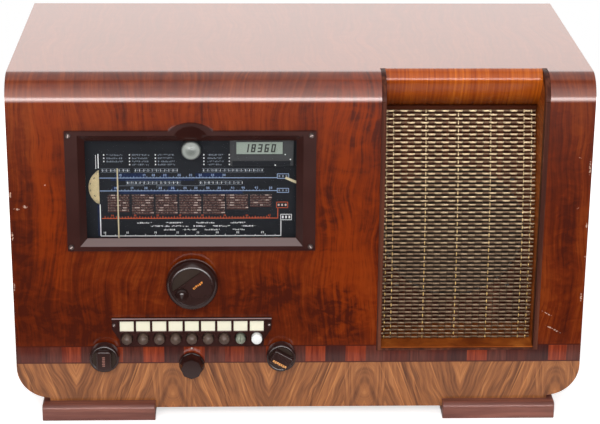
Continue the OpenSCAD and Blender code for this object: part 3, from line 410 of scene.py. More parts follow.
@dataclass(frozen=True)
class Finish:
    """A plain finish: one colour with soft clouds and a fine grain in it.

    Fields: name, linear colour, roughness, metal from 0 to 1, coat from 0 to 1, how strong the clouds
    are, their size per metre, the strength of the surface gloss, how much pale dust with painted sheen lies
    on faces that look up, the depth of the surface grain in metres, how far back and how high in metres
    that dust and sheen lie, and the coat's roughness.
    """

    name: str
    colour: tuple
    rough: float = 0.5
    metal: float = 0.0
    coat: float = 0.0
    clouds: float = 0.15
    cloud_scale: float = 60.0
    spec: float = 0.5
    dust_and_sheen: float = 0.0
    grain: float = 0.0
    dust_sheen_reach: tuple[float, float] = (1.0, 1.0)
    coat_rough: float = 0.08

    def material(self) -> bpy.types.Material:
        """The finish's material, made once."""
        if self.name not in MADE:
            MADE[self.name] = self.build()
        return MADE[self.name]

    def surface(self, g: Graph, colour: object, **more: object) -> bpy.types.Material:
        """Joins the colour, the gloss, the metal and the coat to the surface, and any inputs that differ."""
        g.shade(**{"Base_Color": colour, "Metallic": self.metal, "Roughness": self.rough,
                   "Specular_IOR_Level": self.spec, "Coat_Weight": self.coat,
                   "Coat_Roughness": self.coat_rough, **more})
        return g.mat

    def add_dust_and_sheen(self, g: Graph, colour: object) -> Socket:
        """Lays pale dust and painted sheen on faces that look up, below the height and in front of the depth it
        reaches.
        """
        _, y, z = g.axes(g.place())
        back, high = self.dust_sheen_reach
        sheen_mask = g.times(g.level(g.axes(g.normal())[2], 0.3, 0.75, 0.0, self.dust_and_sheen),
                       g.level(z, high - 0.004, high, 1.0, 0.0))
        return g.mix(g.times(sheen_mask, g.level(y, back - 0.0006, back, 1.0, 0.0)), colour, DUST_SHEEN_COLOUR)

    def build(self) -> bpy.types.Material:
        """Draws the finish: the colour, darker and lighter by the clouds, and dust with painted sheen on upward
        faces.
        """
        g = Graph(self.name)
        cloud = g.noise(g.place(), self.cloud_scale, 3.0)
        low, high = (tuple(min(1.0, c * share) for c in self.colour[:3]) + (1,)
                     for share in (1 - self.clouds, 1 + self.clouds))
        colour = g.ramp(cloud, [(0.3, low), (0.7, high)])
        if self.dust_and_sheen:
            colour = self.add_dust_and_sheen(g, colour)
        more = {"Normal": g.bump(g.noise(g.place(), 900.0, 2.0), self.grain)} if self.grain else {}
        rough = g.level(cloud, 0.3, 0.7, self.rough * 0.9, self.rough * 1.1)
        return self.surface(g, colour, Roughness=rough, **more)


@dataclass(frozen=True)
class Glass(Finish):
    """Clear flat glass that lets light through without bending it."""

    clear: float = 0.9

    def build(self) -> bpy.types.Material:
        """Draws the glass as a thin gloss over a mostly open surface."""
        return self.surface(Graph(self.name), self.colour, Alpha=1.0 - self.clear)


@dataclass(frozen=True)
class EyeGlass(Finish):
    """The end of the tuning eye: a pale ring round a darker middle."""

    middle_ring: tuple = srgb(142, 148, 141)
    pale: tuple = srgb(172, 177, 170)
    edge: tuple = srgb(84, 88, 86)
    coat_rough: float = 0.03

    def build(self) -> bpy.types.Material:
        """Draws rings by the distance from the eye's axis, in centimetres."""
        g = Graph(self.name)
        x, _, z = g.axes(g.place())
        far = g.maths("SQRT", g.squares(g.minus(x, EYE[0] * MM), g.minus(z, EYE[1] * MM)))
        rings = g.ramp(g.times(far, 100.0), [(0.25, self.colour), (0.45, self.middle_ring), (0.66, self.pale),
                                             (0.82, self.pale), (0.95, self.edge)])
        return self.surface(g, rings)


@dataclass(frozen=True)
class Patch:
    """A soft oval on the sheet where the veneer differs.

    Fields: its middle and half sizes in metres, its strength, and its turn in degrees.
    """

    x: float
    s: float
    wide: float
    tall: float
    much: float
    turn: float = 0.0


ORANGE_PATCHES = (Patch(0.052, 0.25, 0.040, 0.14, 0.9), Patch(-0.258, 0.25, 0.016, 0.10, 0.9),
                  Patch(-0.10, 0.338, 0.15, 0.018, 0.7), Patch(0.07, 0.335, 0.03, 0.04, 0.5),
                  Patch(-0.02, 0.155, 0.02, 0.03, 0.5))
DARK_PATCHES = (Patch(-0.286, 0.20, 0.012, 0.09, 0.7), Patch(-0.12, 0.125, 0.15, 0.035, 0.55),
                Patch(0.040, 0.112, 0.030, 0.034, 1.2, -30.0), Patch(0.028, 0.215, 0.008, 0.05, 0.6),
                Patch(-0.25, 0.10, 0.05, 0.03, 0.6), Patch(-0.038, 0.137, 0.032, 0.018, 1.0, 20.0),
                Patch(0.278, 0.19, 0.012, 0.10, 0.8))
CHIPS = (Patch(-0.2985, 0.2515, 0.0013, 0.004, 1.1), Patch(-0.2835, 0.238, 0.004, 0.0022, 1.0, -30.0),
         Patch(-0.2925, 0.236, 0.005, 0.0016, 0.9), Patch(-0.298, 0.206, 0.0014, 0.005, 1.0),
         Patch(-0.2984, 0.150, 0.0012, 0.006, 0.9), Patch(0.298, 0.28, 0.0013, 0.012, 0.9),
         Patch(0.2982, 0.215, 0.0012, 0.006, 1.0), Patch(0.297, 0.135, 0.0012, 0.006, 1.0),
         Patch(0.2985, 0.180, 0.0012, 0.004, 0.9), Patch(0.2865, 0.291, 0.005, 0.0012, 0.8, -14.0),
         Patch(0.288, 0.236, 0.0025, 0.0025, 0.8), Patch(0.2627, 0.1164, 0.012, 0.0009, 0.8, -29.0),
         Patch(0.2700, 0.0985, 0.015, 0.0012, 0.85, -29.0), Patch(-0.262, 0.262, 0.002, 0.0012, 0.8))


# Along the sheet in metres: how strong the painted highlight on the roll is, and where the paler top begins, faded
# and with painted glare
PAINTED_HIGHLIGHT_BAND = ((0.3495, 0.0), (0.352, 0.32), (0.357, 0.22), (0.366, 0.04), (0.386, 0.04))
PALE_TOP_FROM = (0.387, 0.396)


@dataclass(frozen=True)
class Veneer(Finish):
    """Figured walnut under lacquer. Reads surface coordinates in metres: x across, y along the grain."""

    dark: tuple = srgb(70, 20, 5)
    light: tuple = srgb(140, 60, 16)
    orange: tuple = srgb(140, 48, 1)
    faded_with_glare: tuple = srgb(186, 116, 84)
    roll_highlight: tuple = srgb(222, 176, 164)
    bare: tuple = srgb(216, 178, 156)
    coat_rough: float = 0.15
    apron: bool = False

    def patches(self, g: Graph, x: object, s: object, spots: Sequence[Patch]) -> Socket:
        """Adds up soft spots. Each falls to nought over an oval, as its strength less distance squared."""
        total: object = 0.0
        for spot in spots:
            dx, ds = g.minus(x, spot.x), g.minus(s, spot.s)
            cos, sin = float(np.cos(np.radians(spot.turn))), float(np.sin(np.radians(spot.turn)))
            a = g.plus(g.times(dx, cos / spot.wide), g.times(ds, sin / spot.wide))
            b = g.minus(g.times(ds, cos / spot.tall), g.times(dx, sin / spot.tall))
            total = g.plus(total, g.level(g.squares(a, b), 0.0, 2.0, spot.much, 0.0))
        return total

    def figure(self, g: Graph, x: object, s: object, sway: object) -> Socket:
        """Dark to light along the grain: soft bands, fine streaks, slow clouds, curls in the dark patches."""
        burl = self.patches(g, x, s, DARK_PATCHES)
        fac = g.about(g.grain(sway, s, (62.0, 5.0), 0.0, 3.0, 0.6), 0.55, 0.5)
        fac = g.about(g.grain(sway, s, (300.0, 11.0), 5.0, 3.0, 0.6), 0.62, fac)
        curl = g.grain(sway, s, (60.0, 85.0), 9.0, 3.0, 0.6, 0.8)
        fac = g.about(curl, g.times(burl, 0.5, 0.32), fac)
        fac = g.about(g.grain(sway, s, (10.0, 5.0), 3.0), 0.4, fac)
        return g.minus(fac, g.times(burl, 0.15))

    def build(self) -> bpy.types.Material:
        """Draws the figure with orange patches and short dark pores, a painted highlight on the roll and the paler
        top, faded and with painted glare.

        The grain is pushed sideways by slow noise. Small chips at the edges show bare wood.
        """
        g = Graph(self.name)
        place = g.place(uv=True)
        x, s, _ = g.axes(place)
        sway = g.times(g.noise(place, 5.5, 2.0), 0.075, x)
        fac = self.figure(g, x, s, sway)
        wood = g.ramp(fac, [(0.26, self.dark), (0.48, self.colour), (0.76, self.light)])
        warm = g.times(self.patches(g, x, s, ORANGE_PATCHES), g.level(fac, 0.34, 0.56))
        wood = g.mix(g.level(warm, 0.0, 1.0, 0.0, 0.85), wood, self.orange)
        pores = g.grain(sway, s, (900.0, 60.0), 0.0)
        wood = g.mix(g.level(pores, 0.30, 0.40, 0.4, 0.0), wood, self.dark)
        # Painted highlight: a pale band on the roll, brightest near its foot
        wood = g.mix(g.curve(s, PAINTED_HIGHLIGHT_BAND), wood, self.roll_highlight)
        # Paler top: faded lacquer, with painted glare of the bright room behind mixed in
        wood = g.mix(g.level(s, *PALE_TOP_FROM, 0.0, 0.5), wood, self.faded_with_glare)
        if self.apron:
            joint = INLAY_Z[0] * MM
            wood = g.mix(g.level(s, joint + 0.0002, joint - 0.0002), wood, fan_veneer(g, x, s))
        hurt = g.times(self.patches(g, x, s, CHIPS), g.noise(place, 420.0, 1.0))
        wood = g.mix(g.level(hurt, 0.36, 0.46, 0.0, 0.8), wood, self.bare)
        return self.surface(g, wood, Normal=g.bump(fac, 0.0003, 0.15))


def fan_veneer(g: Graph, x: Socket, s: Socket) -> Socket:
    """Paler veneer laid in matched pairs, its streaks slanting away from each joint.

    The distance from the nearest joint, folded both ways, is added to the height, so that streaks run
    up and outwards on both sides. Near every second joint the streaks close into ovals: there the folded
    distance squared and the height squared are added instead.
    """
    period, first_joint = 0.205, -0.045
    middle = 0.036  # height of the ovals
    cell = g.maths("FRACT", g.maths("DIVIDE", g.plus(x, 0.5 - first_joint), period))
    fold = g.times(g.maths("ABSOLUTE", g.minus(cell, 0.5)), period)
    along = g.times(s, -0.36, fold)
    wave = g.times(g.noise(g.vector(x, s, 0.3), 20.0, 2.0), 0.018, along)
    near, lift = g.minus(period / 2, fold), g.minus(s, middle)
    oval = g.times(g.times(lift, lift), 9.0, g.times(g.times(near, near), 26.0))
    eye = g.level(near, 0.010, 0.022, 1.0, 0.0)
    field = g.plus(g.times(wave, g.minus(1.0, eye)), g.times(oval, eye))
    streak = g.grain(field, s, (200.0, 14.0), 7.0, 4.0, 0.65)
    ray = g.grain(along, s, (420.0, 6.0), 2.0, 2.0)
    streak = g.about(g.grain(along, s, (90.0, 5.0), 4.0, 2.0), 0.6, streak)
    wood = g.ramp(streak, [(0.26, srgb(84, 44, 24)), (0.42, srgb(130, 78, 44)), (0.56, srgb(162, 100, 56)),
                           (0.76, srgb(208, 140, 84))])
    return g.mix(g.level(ray, 0.60, 0.72, 0.0, 0.65), wood, srgb(212, 138, 78))


@dataclass(frozen=True)
class StraightWood(Finish):
    """Straight-grained wood, its streaks along one axis, darker by painted shade below a height where the light
    fails.
    """

    dark: tuple = srgb(70, 26, 12)
    light: tuple = srgb(150, 72, 30)
    stretch: tuple = (160.0, 160.0, 6.0)
    coat_rough: float = 0.1
    painted_shade: tuple[float, float, float] = (0.0, 0.0, 1.0)

    def build(self) -> bpy.types.Material:
        """Draws noise drawn out along the grain, from the dark to the light colour.

        Between the first two heights of the painted shade, in metres, the colour falls to its third value's share.
        """
        g = Graph(self.name)
        streak = g.noise(g.place(self.stretch), 1.0, 4.0, 0.6, 0.3)
        fac = g.about(g.noise(g.place(tuple(v / 6 for v in self.stretch)), 1.0, 2.0), 0.5, streak)
        wood = g.ramp(fac, [(0.28, self.dark), (0.5, self.colour), (0.72, self.light)])
        low, high, share = self.painted_shade
        if high:
            # Painted shade: darker towards the bottom
            wood = g.mix(g.level(g.axes(g.place())[2], low, high, 1.0 - share, 0.0), wood, BLACK)
        return self.surface(g, wood, Normal=g.bump(streak, 0.0002, 0.3))


@dataclass(frozen=True)
class Inlay(Finish):
    """A band of short blocks across the front, alternately red-brown and dark."""

    pitch: float = 0.0215
    coat_rough: float = 0.12

    def build(self) -> bpy.types.Material:
        """Draws blocks by the whole part of x over the pitch, each with its own tone, with dark edge lines."""
        g = Graph(self.name)
        x, _, z = g.axes(g.place())
        wander = g.times(g.noise(g.place((40.0, 1.0, 1.0)), 1.0, 1.0), 0.008, x)
        block = g.maths("FLOOR", g.maths("DIVIDE", g.plus(wander, 1.0), self.pitch))
        odd = g.maths("PINGPONG", block, 1.0)
        tone = g.noise(g.vector(g.times(block, 3.7), 0.5, 0.5), 1.0, 0.0)
        streak = g.noise(g.place((420.0, 10.0, 30.0)), 1.0, 3.0)
        red = g.ramp(streak, [(0.3, srgb(104, 32, 16)), (0.7, srgb(158, 66, 34))])
        brown = g.ramp(streak, [(0.3, srgb(64, 28, 22)), (0.7, srgb(108, 54, 42))])
        wood = g.mix(g.times(odd, g.level(tone, 0.3, 0.6, 0.35, 1.0)), brown, red)
        wood = g.mix(g.level(tone, 0.40, 0.46, 0.55, 0.0), wood, srgb(44, 18, 20))
        low, high = INLAY_Z[0] * MM, INLAY_Z[1] * MM
        edge = g.plus(g.level(z, low + 0.0010, low + 0.0016, 1.0, 0.0), g.level(z, high - 0.0016, high - 0.0010))
        return self.surface(g, g.mix(edge, wood, srgb(74, 26, 14)))


@dataclass(frozen=True)
class Wire(Finish):
    """Wire of the cloth, lit at the top of the bay and darker towards the sill by painted shade, with tarnished
    specks.
    """

    tarnish_and_shade: tuple = srgb(92, 74, 42)

    def build(self) -> bpy.types.Material:
        """Draws the colour by height as painted shade: the dark colour at the sill, the lit colour near the top,
        with small clouds and tarnished specks.
        """
        g = Graph(self.name)
        z = g.about(g.noise(g.place(), 55.0, 3.0), 0.12, g.axes(g.place())[2])
        # Painted shade: dark low in the bay, lit near the top
        wire = g.mix(g.level(z, 0.155, 0.30), self.tarnish_and_shade, self.colour)
        speck = g.noise(g.place(), 700.0, 2.0)
        return self.surface(g, g.mix(g.level(speck, 0.35, 0.6, 0.35, 0.0), wire, self.tarnish_and_shade))


class Wood(Enum):
    """The cabinet's woods."""

    WALNUT = Veneer("walnut_veneer", srgb(103, 34, 5), rough=0.5, coat=1.0, spec=0.0, apron=True)
    # The cornice darkens by painted shade where it turns under towards the cloth
    CORNICE = StraightWood("cornice_veneer", srgb(178, 80, 12), rough=0.5, coat=0.9, spec=0.0,
                           dark=srgb(148, 58, 6), light=srgb(208, 108, 24), stretch=(320.0, 9.0, 9.0),
                           coat_rough=0.24, painted_shade=(0.3305, 0.349, 0.22))
    LINING = StraightWood("lining_wood", srgb(150, 74, 24), rough=0.6, coat=0.15, spec=0.1,
                          dark=srgb(112, 48, 14), light=srgb(188, 106, 42), stretch=(40.0, 40.0, 500.0),
                          coat_rough=0.3)
    BEAD = StraightWood("bead_wood", srgb(66, 30, 20), rough=0.6, coat=0.1, spec=0.1, dark=srgb(40, 18, 14),
                        light=srgb(104, 58, 40), coat_rough=0.3)
    FOOT = StraightWood("foot_wood", srgb(112, 64, 54), rough=0.5, coat=0.9, spec=0.1, dark=srgb(82, 42, 34),
                        light=srgb(142, 88, 74), stretch=(8.0, 160.0, 160.0), coat_rough=0.3)
    PLY = StraightWood("bare_plywood", srgb(168, 128, 88), rough=0.8, spec=0.2, dark=srgb(140, 98, 62),
                       light=srgb(192, 154, 110), stretch=(12.0, 30.0, 500.0))
    INLAY = Inlay("inlay_veneer", srgb(110, 50, 40), rough=0.5, coat=0.9, spec=0.0)


def ink(name: str, red: float, green: float, blue: float, clouds: float = 0.1, **more: float) -> Finish:
    """Matt printing ink of a screen colour."""
    return Finish(name, srgb(red, green, blue), rough=0.7, spec=0.1, clouds=clouds, **more)


class Stuff(Enum):
    """Everything that isn't wood."""

    BAKELITE = Finish("bakelite", srgb(44, 24, 21), rough=0.18, spec=0.5, cloud_scale=25.0)
    KNOB_FACE = Finish("knob_recess", srgb(52, 41, 35), rough=0.5, spec=0.1, cloud_scale=90.0)
    # The bezel's pale lower slope is dust and a painted reflection of the light from above
    FRAME = Finish("bezel_bakelite", srgb(52, 24, 20), rough=0.2, spec=0.28, cloud_scale=25.0, dust_and_sheen=0.4,
                   dust_sheen_reach=(1.0, 0.25))
    # Painted highlight with dust: only the front lip of the strip's top is lightened
    STRIP = Finish("strip_bakelite", srgb(48, 23, 20), rough=0.2, spec=0.28, cloud_scale=25.0, dust_and_sheen=1.0,
                   dust_sheen_reach=(-0.1510, 1.0))
    CAP = Finish("brown_cap", srgb(82, 65, 56), rough=0.35, spec=0.35, clouds=0.3, cloud_scale=220.0)
    WHITE_CAP = Finish("white_cap", srgb(250, 250, 248), rough=0.4, spec=0.3, clouds=0.02)
    METAL_CAP = Finish("metal_cap", srgb(138, 142, 126), rough=0.5, metal=0.3, clouds=0.3, cloud_scale=300.0)
    CARD = Finish("cream_card", srgb(252, 247, 222), rough=0.8, spec=0.1, clouds=0.02)
    SCALE = Finish("scale_paint", srgb(33, 34, 38), rough=0.7, spec=0.1, clouds=0.25, cloud_scale=14.0)
    GLASS = Glass("dial_glass", srgb(80, 84, 90), rough=0.03, clear=0.97)
    EYE = EyeGlass("eye_glass", srgb(126, 131, 125), rough=0.3, coat=0.3)
    DISPLAY = Finish("display_plastic", srgb(50, 51, 52), rough=0.5, spec=0.3)
    DISC = Finish("disc_card", srgb(216, 196, 150), rough=0.6, clouds=0.12, cloud_scale=160.0)
    LAMP = Finish("lamp_glass", srgb(230, 222, 196), rough=0.2, clouds=0.02)
    CORD = Finish("cord_fibre", srgb(196, 184, 150), rough=0.9, clouds=0.3, cloud_scale=900.0)
    MESH = Wire("cloth_front", srgb(232, 204, 162), rough=0.42, metal=0.3, spec=0.3, tarnish_and_shade=srgb(128, 106, 84))
    # A darker copy of the cloth wire, painted shade for the stretches that lie back
    MESH_BACK = Wire("cloth_back", srgb(136, 106, 82), rough=0.6, metal=0.3, spec=0.2, tarnish_and_shade=srgb(108, 88, 70))
    WIRE = Wire("bright_wire", srgb(232, 210, 168), rough=0.35, metal=0.4, spec=0.4, tarnish_and_shade=srgb(196, 160, 96))
    WARP = Finish("dark_wire", srgb(58, 44, 34), rough=0.7, spec=0.1)
    # Dark finish of a bar that stands for the shade under the cornice
    EDGE = Finish("cloth_edge", srgb(64, 28, 14), rough=0.7, spec=0.1)
    BASKET = Finish("speaker_steel", srgb(70, 64, 60), rough=0.5, metal=0.6)
    CONE = Finish("cone_paper", srgb(62, 52, 46), rough=0.9, spec=0.1, grain=0.0001)
    IRON = Finish("transformer_iron", srgb(66, 64, 66), rough=0.5, metal=0.5)
    STEEL = Finish("plated_steel", srgb(170, 168, 160), rough=0.35, metal=0.9)
    SLOT = Finish("slot_glint", srgb(206, 182, 176), rough=0.4, metal=0.5, clouds=0.1)
    SCREW = Finish("aged_screw", srgb(86, 72, 68), rough=0.4, metal=0.7, clouds=0.3, cloud_scale=500.0)
    CHASSIS = Finish("chassis_steel", srgb(142, 142, 136), rough=0.45, metal=0.8)
    VANES = Finish("vane_aluminium", srgb(184, 186, 186), rough=0.38, metal=0.9)
    VALVE = Finish("valve_glass", srgb(66, 70, 74), rough=0.08, coat=1.0, metal=0.3)
    BASE = Finish("valve_base", srgb(44, 30, 26), rough=0.35)
    BOARD = Finish("fibreboard", srgb(112, 74, 46), rough=0.85, spec=0.15, clouds=0.3, cloud_scale=120.0,
                   grain=0.0002)
    TERMINAL = Finish("terminal_board", srgb(58, 40, 30), rough=0.5)
    PRINT = ink("scale_print", 250, 250, 250, 0.02)
    SOFT = ink("scale_soft", 132, 140, 150)
    BLUE = ink("scale_blue", 168, 190, 226, 0.05)
    NAVY = ink("scale_navy", 28, 40, 72, 0.3, cloud_scale=300.0)
    RED = ink("scale_red", 206, 96, 60, 0.05)
    TAN = ink("scale_tan", 144, 120, 110, 0.15)
    BROWN = ink("scale_brown", 92, 54, 48)
    BRIGHT_TAN = ink("scale_bright_tan", 214, 196, 186)
    POINTER = Finish("pointer_cream", srgb(220, 206, 168), rough=0.5, clouds=0.02)
    LCD = Finish("display_grey", srgb(150, 162, 150), rough=0.3, coat=0.5, clouds=0.02)
    INK = Finish("display_ink", srgb(24, 26, 24), rough=0.5, clouds=0.02)
    MARK = Finish("knob_mark", srgb(236, 150, 66), rough=0.6, clouds=0.2, cloud_scale=400.0)
    PINK_MARK = Finish("pink_mark", srgb(222, 156, 92), rough=0.6, clouds=0.2, cloud_scale=400.0)
    DOT = Finish("dot_bone", srgb(186, 176, 170), rough=0.6, clouds=0.1)
    RED_MARK = Finish("red_mark", srgb(142, 96, 84), rough=0.6, clouds=0.2, cloud_scale=400.0)


# Finish of each CAD node that is shown as it is, with the rounding of its edges in millimetres
DRESS: dict[str, tuple[Enum, float]] = {
    "left_side": (Wood.WALNUT, 0.6), "right_side": (Wood.WALNUT, 0.6), "front_top_panel": (Wood.WALNUT, 0.0),
    "bottom_board": (Wood.PLY, 0.0), "cabinet_battens": (Wood.PLY, 0.5), "foot_left": (Wood.FOOT, 0.8),
    "foot_right": (Wood.FOOT, 0.8), "inlay_band": (Wood.INLAY, 0.0), "back_cover": (Stuff.BOARD, 0.4),
    "bay_bead": (Wood.BEAD, 0.4), "bay_cornice": (Wood.CORNICE, 0.0), "bay_lining": (Wood.LINING, 0.3),
    "baffle_board": (Wood.BEAD, 0.3), "speaker_basket": (Stuff.BASKET, 0.0), "speaker_cone": (Stuff.CONE, 0.0),
    "speaker_magnet": (Stuff.IRON, 0.5), "output_transformer": (Stuff.IRON, 0.4),
    "frame_bolts": (Stuff.IRON, 0.2), "dial_bezel": (Stuff.FRAME, 0.5), "dial_glass": (Stuff.GLASS, 0.0),
    "scale_plate": (Stuff.SCALE, 0.0), "dial_frame": (Stuff.CHASSIS, 0.0), "tuning_eye": (Stuff.EYE, 0.5),
    "frequency_display": (Stuff.DISPLAY, 0.3), "logging_disc": (Stuff.DISC, 0.2),
    "dial_pointer": (Stuff.POINTER, 0.0), "band_pointer": (Stuff.POINTER, 0.0), "dial_lamps": (Stuff.LAMP, 0.0),
    "drive_cord": (Stuff.CORD, 0.0), "button_strip": (Stuff.STRIP, 0.3), "button_labels": (Stuff.CARD, 0.1),
    "button_switch_bank": (Stuff.STEEL, 0.3), "tuning_spindle": (Stuff.STEEL, 0.0),
    "volume_shaft": (Stuff.STEEL, 0.0), "tone_shaft": (Stuff.STEEL, 0.0), "waveband_shaft": (Stuff.STEEL, 0.0),
    "front_controls": (Stuff.STEEL, 0.2), "chassis": (Stuff.CHASSIS, 0.3), "tuning_gang_frame": (Stuff.VANES, 0.0),
    "tuning_gang_rotor": (Stuff.VANES, 0.0), "mains_transformer": (Stuff.IRON, 0.4),
    "screening_cans": (Stuff.VANES, 0.5), "valve_bulbs": (Stuff.VALVE, 0.0), "valve_bases": (Stuff.BASE, 0.2),
    "rear_terminals": (Stuff.TERMINAL, 0.2), **{f"button_{i}": (Stuff.CAP, 0.5) for i in range(1, 8)},
    "button_8": (Stuff.METAL_CAP, 0.2), "button_9": (Stuff.WHITE_CAP, 0.3),
}


# Veneer on the sides: how far a face looks sideways to count, how far off its own sheet lies in metres, and
# the share and the start of the stretch that it is pressed into
SIDEWAYS = 0.8
SIDE_SHIFT = 2.0
SIDE_PRESS = (0.6, 0.1)


def sheet_length(points: np.ndarray) -> np.ndarray:
    """Length along the bent sheet, in metres: up the front, then round the roll, then back along the top.

    On the roll it is the roll's height plus the radius times the angle from the horizontal.
    """
    y, z = points[:, 1] / MM + FACE_Y, points[:, 2] / MM
    angle = np.clip(np.arctan2(z - ROLL_Z, ROLL_R - y), 0, np.pi / 2)
    roll = ROLL_Z + ROLL_R * angle
    top = ROLL_Z + ROLL_R * np.pi / 2 + y - ROLL_R
    return np.where(z < ROLL_Z, z, np.where(y > ROLL_R, top, roll)) * MM


def lay_veneer(mesh: bpy.types.Mesh) -> None:
    """Lays surface coordinates in metres: across, and along the bent sheet.

    On side faces depth is across, and height is pressed into the stretch between the apron and the roll.
    """
    co = np.empty(len(mesh.vertices) * 3)
    mesh.vertices.foreach_get("co", co)
    co = co.reshape(-1, 3)
    index = np.empty(len(mesh.loops), dtype=np.int32)
    mesh.loops.foreach_get("vertex_index", index)
    normal = np.empty(len(mesh.polygons) * 3)
    mesh.polygons.foreach_get("normal", normal)
    total = np.empty(len(mesh.polygons), dtype=np.int32)
    mesh.polygons.foreach_get("loop_total", total)
    side = np.repeat(np.abs(normal.reshape(-1, 3)[:, 0]) > SIDEWAYS, total)
    at = co[index]
    across = np.where(side, at[:, 1] + SIDE_SHIFT, at[:, 0])
    along = np.where(side, at[:, 2] * SIDE_PRESS[0] + SIDE_PRESS[1], sheet_length(at))
    layer = mesh.uv_layers.new(name="veneer")
    layer.data.foreach_set("uv", np.stack([across, along], axis=-1).ravel())


def body_name(node: str) -> str:
    """The CAD body that a node belongs to."""
    return frame["nodes"][node].parent.name.removeprefix("body:")


def settle(piece: bpy.types.Object, node: str, stands_for: bool = True) -> None:
    """Hangs a finished piece on its node's body, and hides the node where the piece stands for it."""
    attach(piece, body_name(node))
    if stands_for:
        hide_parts(node)


def dressed(node: str, finish: Finish, edge: float) -> bpy.types.Object:
    """A copy of a CAD node with merged points, rounded edges and a finish.

    Args:
        node: the CAD node.
        finish: its finish.
        edge: rounding of its edges in millimetres, nought for none.

    Returns:
        The new piece.
    """
    mesh = frame["nodes"][node].data.copy()
    mesh.name = f"look_{node}"
    mesh.materials.clear()
    mesh.materials.append(finish.material())
    mesh.polygons.foreach_set("material_index", [0] * len(mesh.polygons))
    work = bmesh.new()
    work.from_mesh(mesh)
    bmesh.ops.remove_doubles(work, verts=work.verts, dist=1e-6)
    bmesh.ops.dissolve_limit(work, angle_limit=np.radians(FLAT), verts=work.verts, edges=work.edges)
    work.to_mesh(mesh)
    work.free()
    piece = finish_mesh(mesh, f"look_{node}", SHARP)
    if isinstance(finish, Veneer):
        lay_veneer(piece.data)
    if edge:
        bevel = piece.modifiers.new("edges", "BEVEL")
        bevel.width = edge * MM
        bevel.segments = 2
        bevel.limit_method = "ANGLE"
        bevel.angle_limit = np.radians(SHARP)
    piece.modifiers.new("flat", "WEIGHTED_NORMAL").keep_sharp = True
    settle(piece, node)
    return piece


@dataclass
class WireCloth:
    """The woven cloth in the bay: flat rows that pass over and under upright wires.

    Fields: number and spacing of the rows, spacing of the dark upright wires and the place of one, half
    thickness and half height of a row, how far a row swings, radius of the bend on which the cloth leans back,
    the places of the bright upright wires, half thickness and half width of the dark and of the bright ones,
    how far the bright ones swing, the room at each side of the bay, and the dark bar of painted shade at the
    cloth's top edge as its front, its back and its foot.
    """

    rows: int = 61
    pitch: float = 4.12
    warp_pitch: float = 7.2
    warp_x: float = 95.0
    row_half: tuple[float, float] = (0.4, 1.05)
    swing: float = 0.55
    lean_r: float = 552.6
    bright_x: tuple[float, ...] = (91.0, 98.0, 132.0, 166.0, 200.0, 235.0, 243.0)
    warp_half: tuple[float, float] = (0.4, 0.45)
    bright_half: tuple[float, float] = (0.32, 0.55)
    bright_swing: float = 0.95
    room: float = 0.6
    shade_bar: tuple[float, float, float] = (52.6, 54.6, 326.6)

    def line(self, t: np.ndarray) -> tuple[np.ndarray, np.ndarray]:
        """Depth and height at a length along the cloth: upright first, then an arc that leans back.

        On the arc the angle a is the length past the bend over the radius, the depth is r (1 - cos a) and the
        height r sin a.
        """
        straight = LEAN_Z - BAY_Z
        a = np.clip(t - straight, 0, None) / self.lean_r
        y = MESH_Y + 1.2 + self.lean_r * (1 - np.cos(a))
        return y, np.where(t < straight, BAY_Z + t, LEAN_Z + self.lean_r * np.sin(a))

    def build(self) -> None:
        """Makes the rows, the upright wires and the bright wires.

        A row's depth swings as the cosine of pi times x over the wire spacing, turned by half a wave from
        one row to the next, so that it passes before one wire and behind the next. The bright wires swing
        the other way, so that each passes before the rows that lie back there.
        """
        left, right = BAY_X[0] + self.room, BAY_X[1] - self.room
        y, z = self.line(self.pitch * (np.arange(self.rows) + 0.5))
        x = np.arange(left, right, self.warp_pitch / 8)
        phase = np.pi * (x[None, :] - self.warp_x) / self.warp_pitch + np.pi * np.arange(self.rows)[:, None]
        swing = np.clip(np.cos(phase) * 1.5, -1, 1) * self.swing
        rows = rows_of(x[None, :], y[:, None] - swing, z[:, None])
        cloth = Shape()
        # Painted shade: the stretches of a row that lie back take a darker copy of the wire
        back_in_shade = ((swing[:, 1:] + swing[:, :-1]) < -0.2).astype(int)
        cloth.tubes(rows, self.row_half, paint=back_in_shade)
        fine = np.arange(0, self.rows * 4 + 1) * self.pitch / 4
        y, z = self.line(fine)
        wires = np.arange(self.warp_x - self.warp_pitch / 2, BAY_X[1] - 1.0, self.warp_pitch)
        upright = rows_of(wires[:, None], y[None, ::4], z[None, ::4])
        cloth.tubes(upright, self.warp_half, paint=2)
        bright = np.array(self.bright_x)[:, None]
        side = np.where(np.cos(np.pi * (bright - self.warp_x) / self.warp_pitch) > 0, 1.0, -1.0)
        over = side * np.cos(np.pi * (fine / self.pitch - 0.5))[None, :] * self.bright_swing
        tall = rows_of(bright, y[None, :] + over, z[None, :])
        # Painted shade: the bright wires take the dark wire's finish where they lie back behind the rows
        cloth.tubes(tall, self.bright_half, paint=np.where(over[:, 1:] + over[:, :-1] < 0.6, 3, 2))
        front, back, foot = self.shade_bar
        # A dark bar of painted shade fills the gap between the cornice and the first row
        cloth.boxes([[left, front, foot]], [[right, back, MESH_TOP]], 4)
        finishes = [s.value for s in (Stuff.MESH, Stuff.MESH_BACK, Stuff.WARP, Stuff.WIRE, Stuff.EDGE)]
        settle(cloth.build("wire_cloth", finishes, 60.0), "grille_mesh")


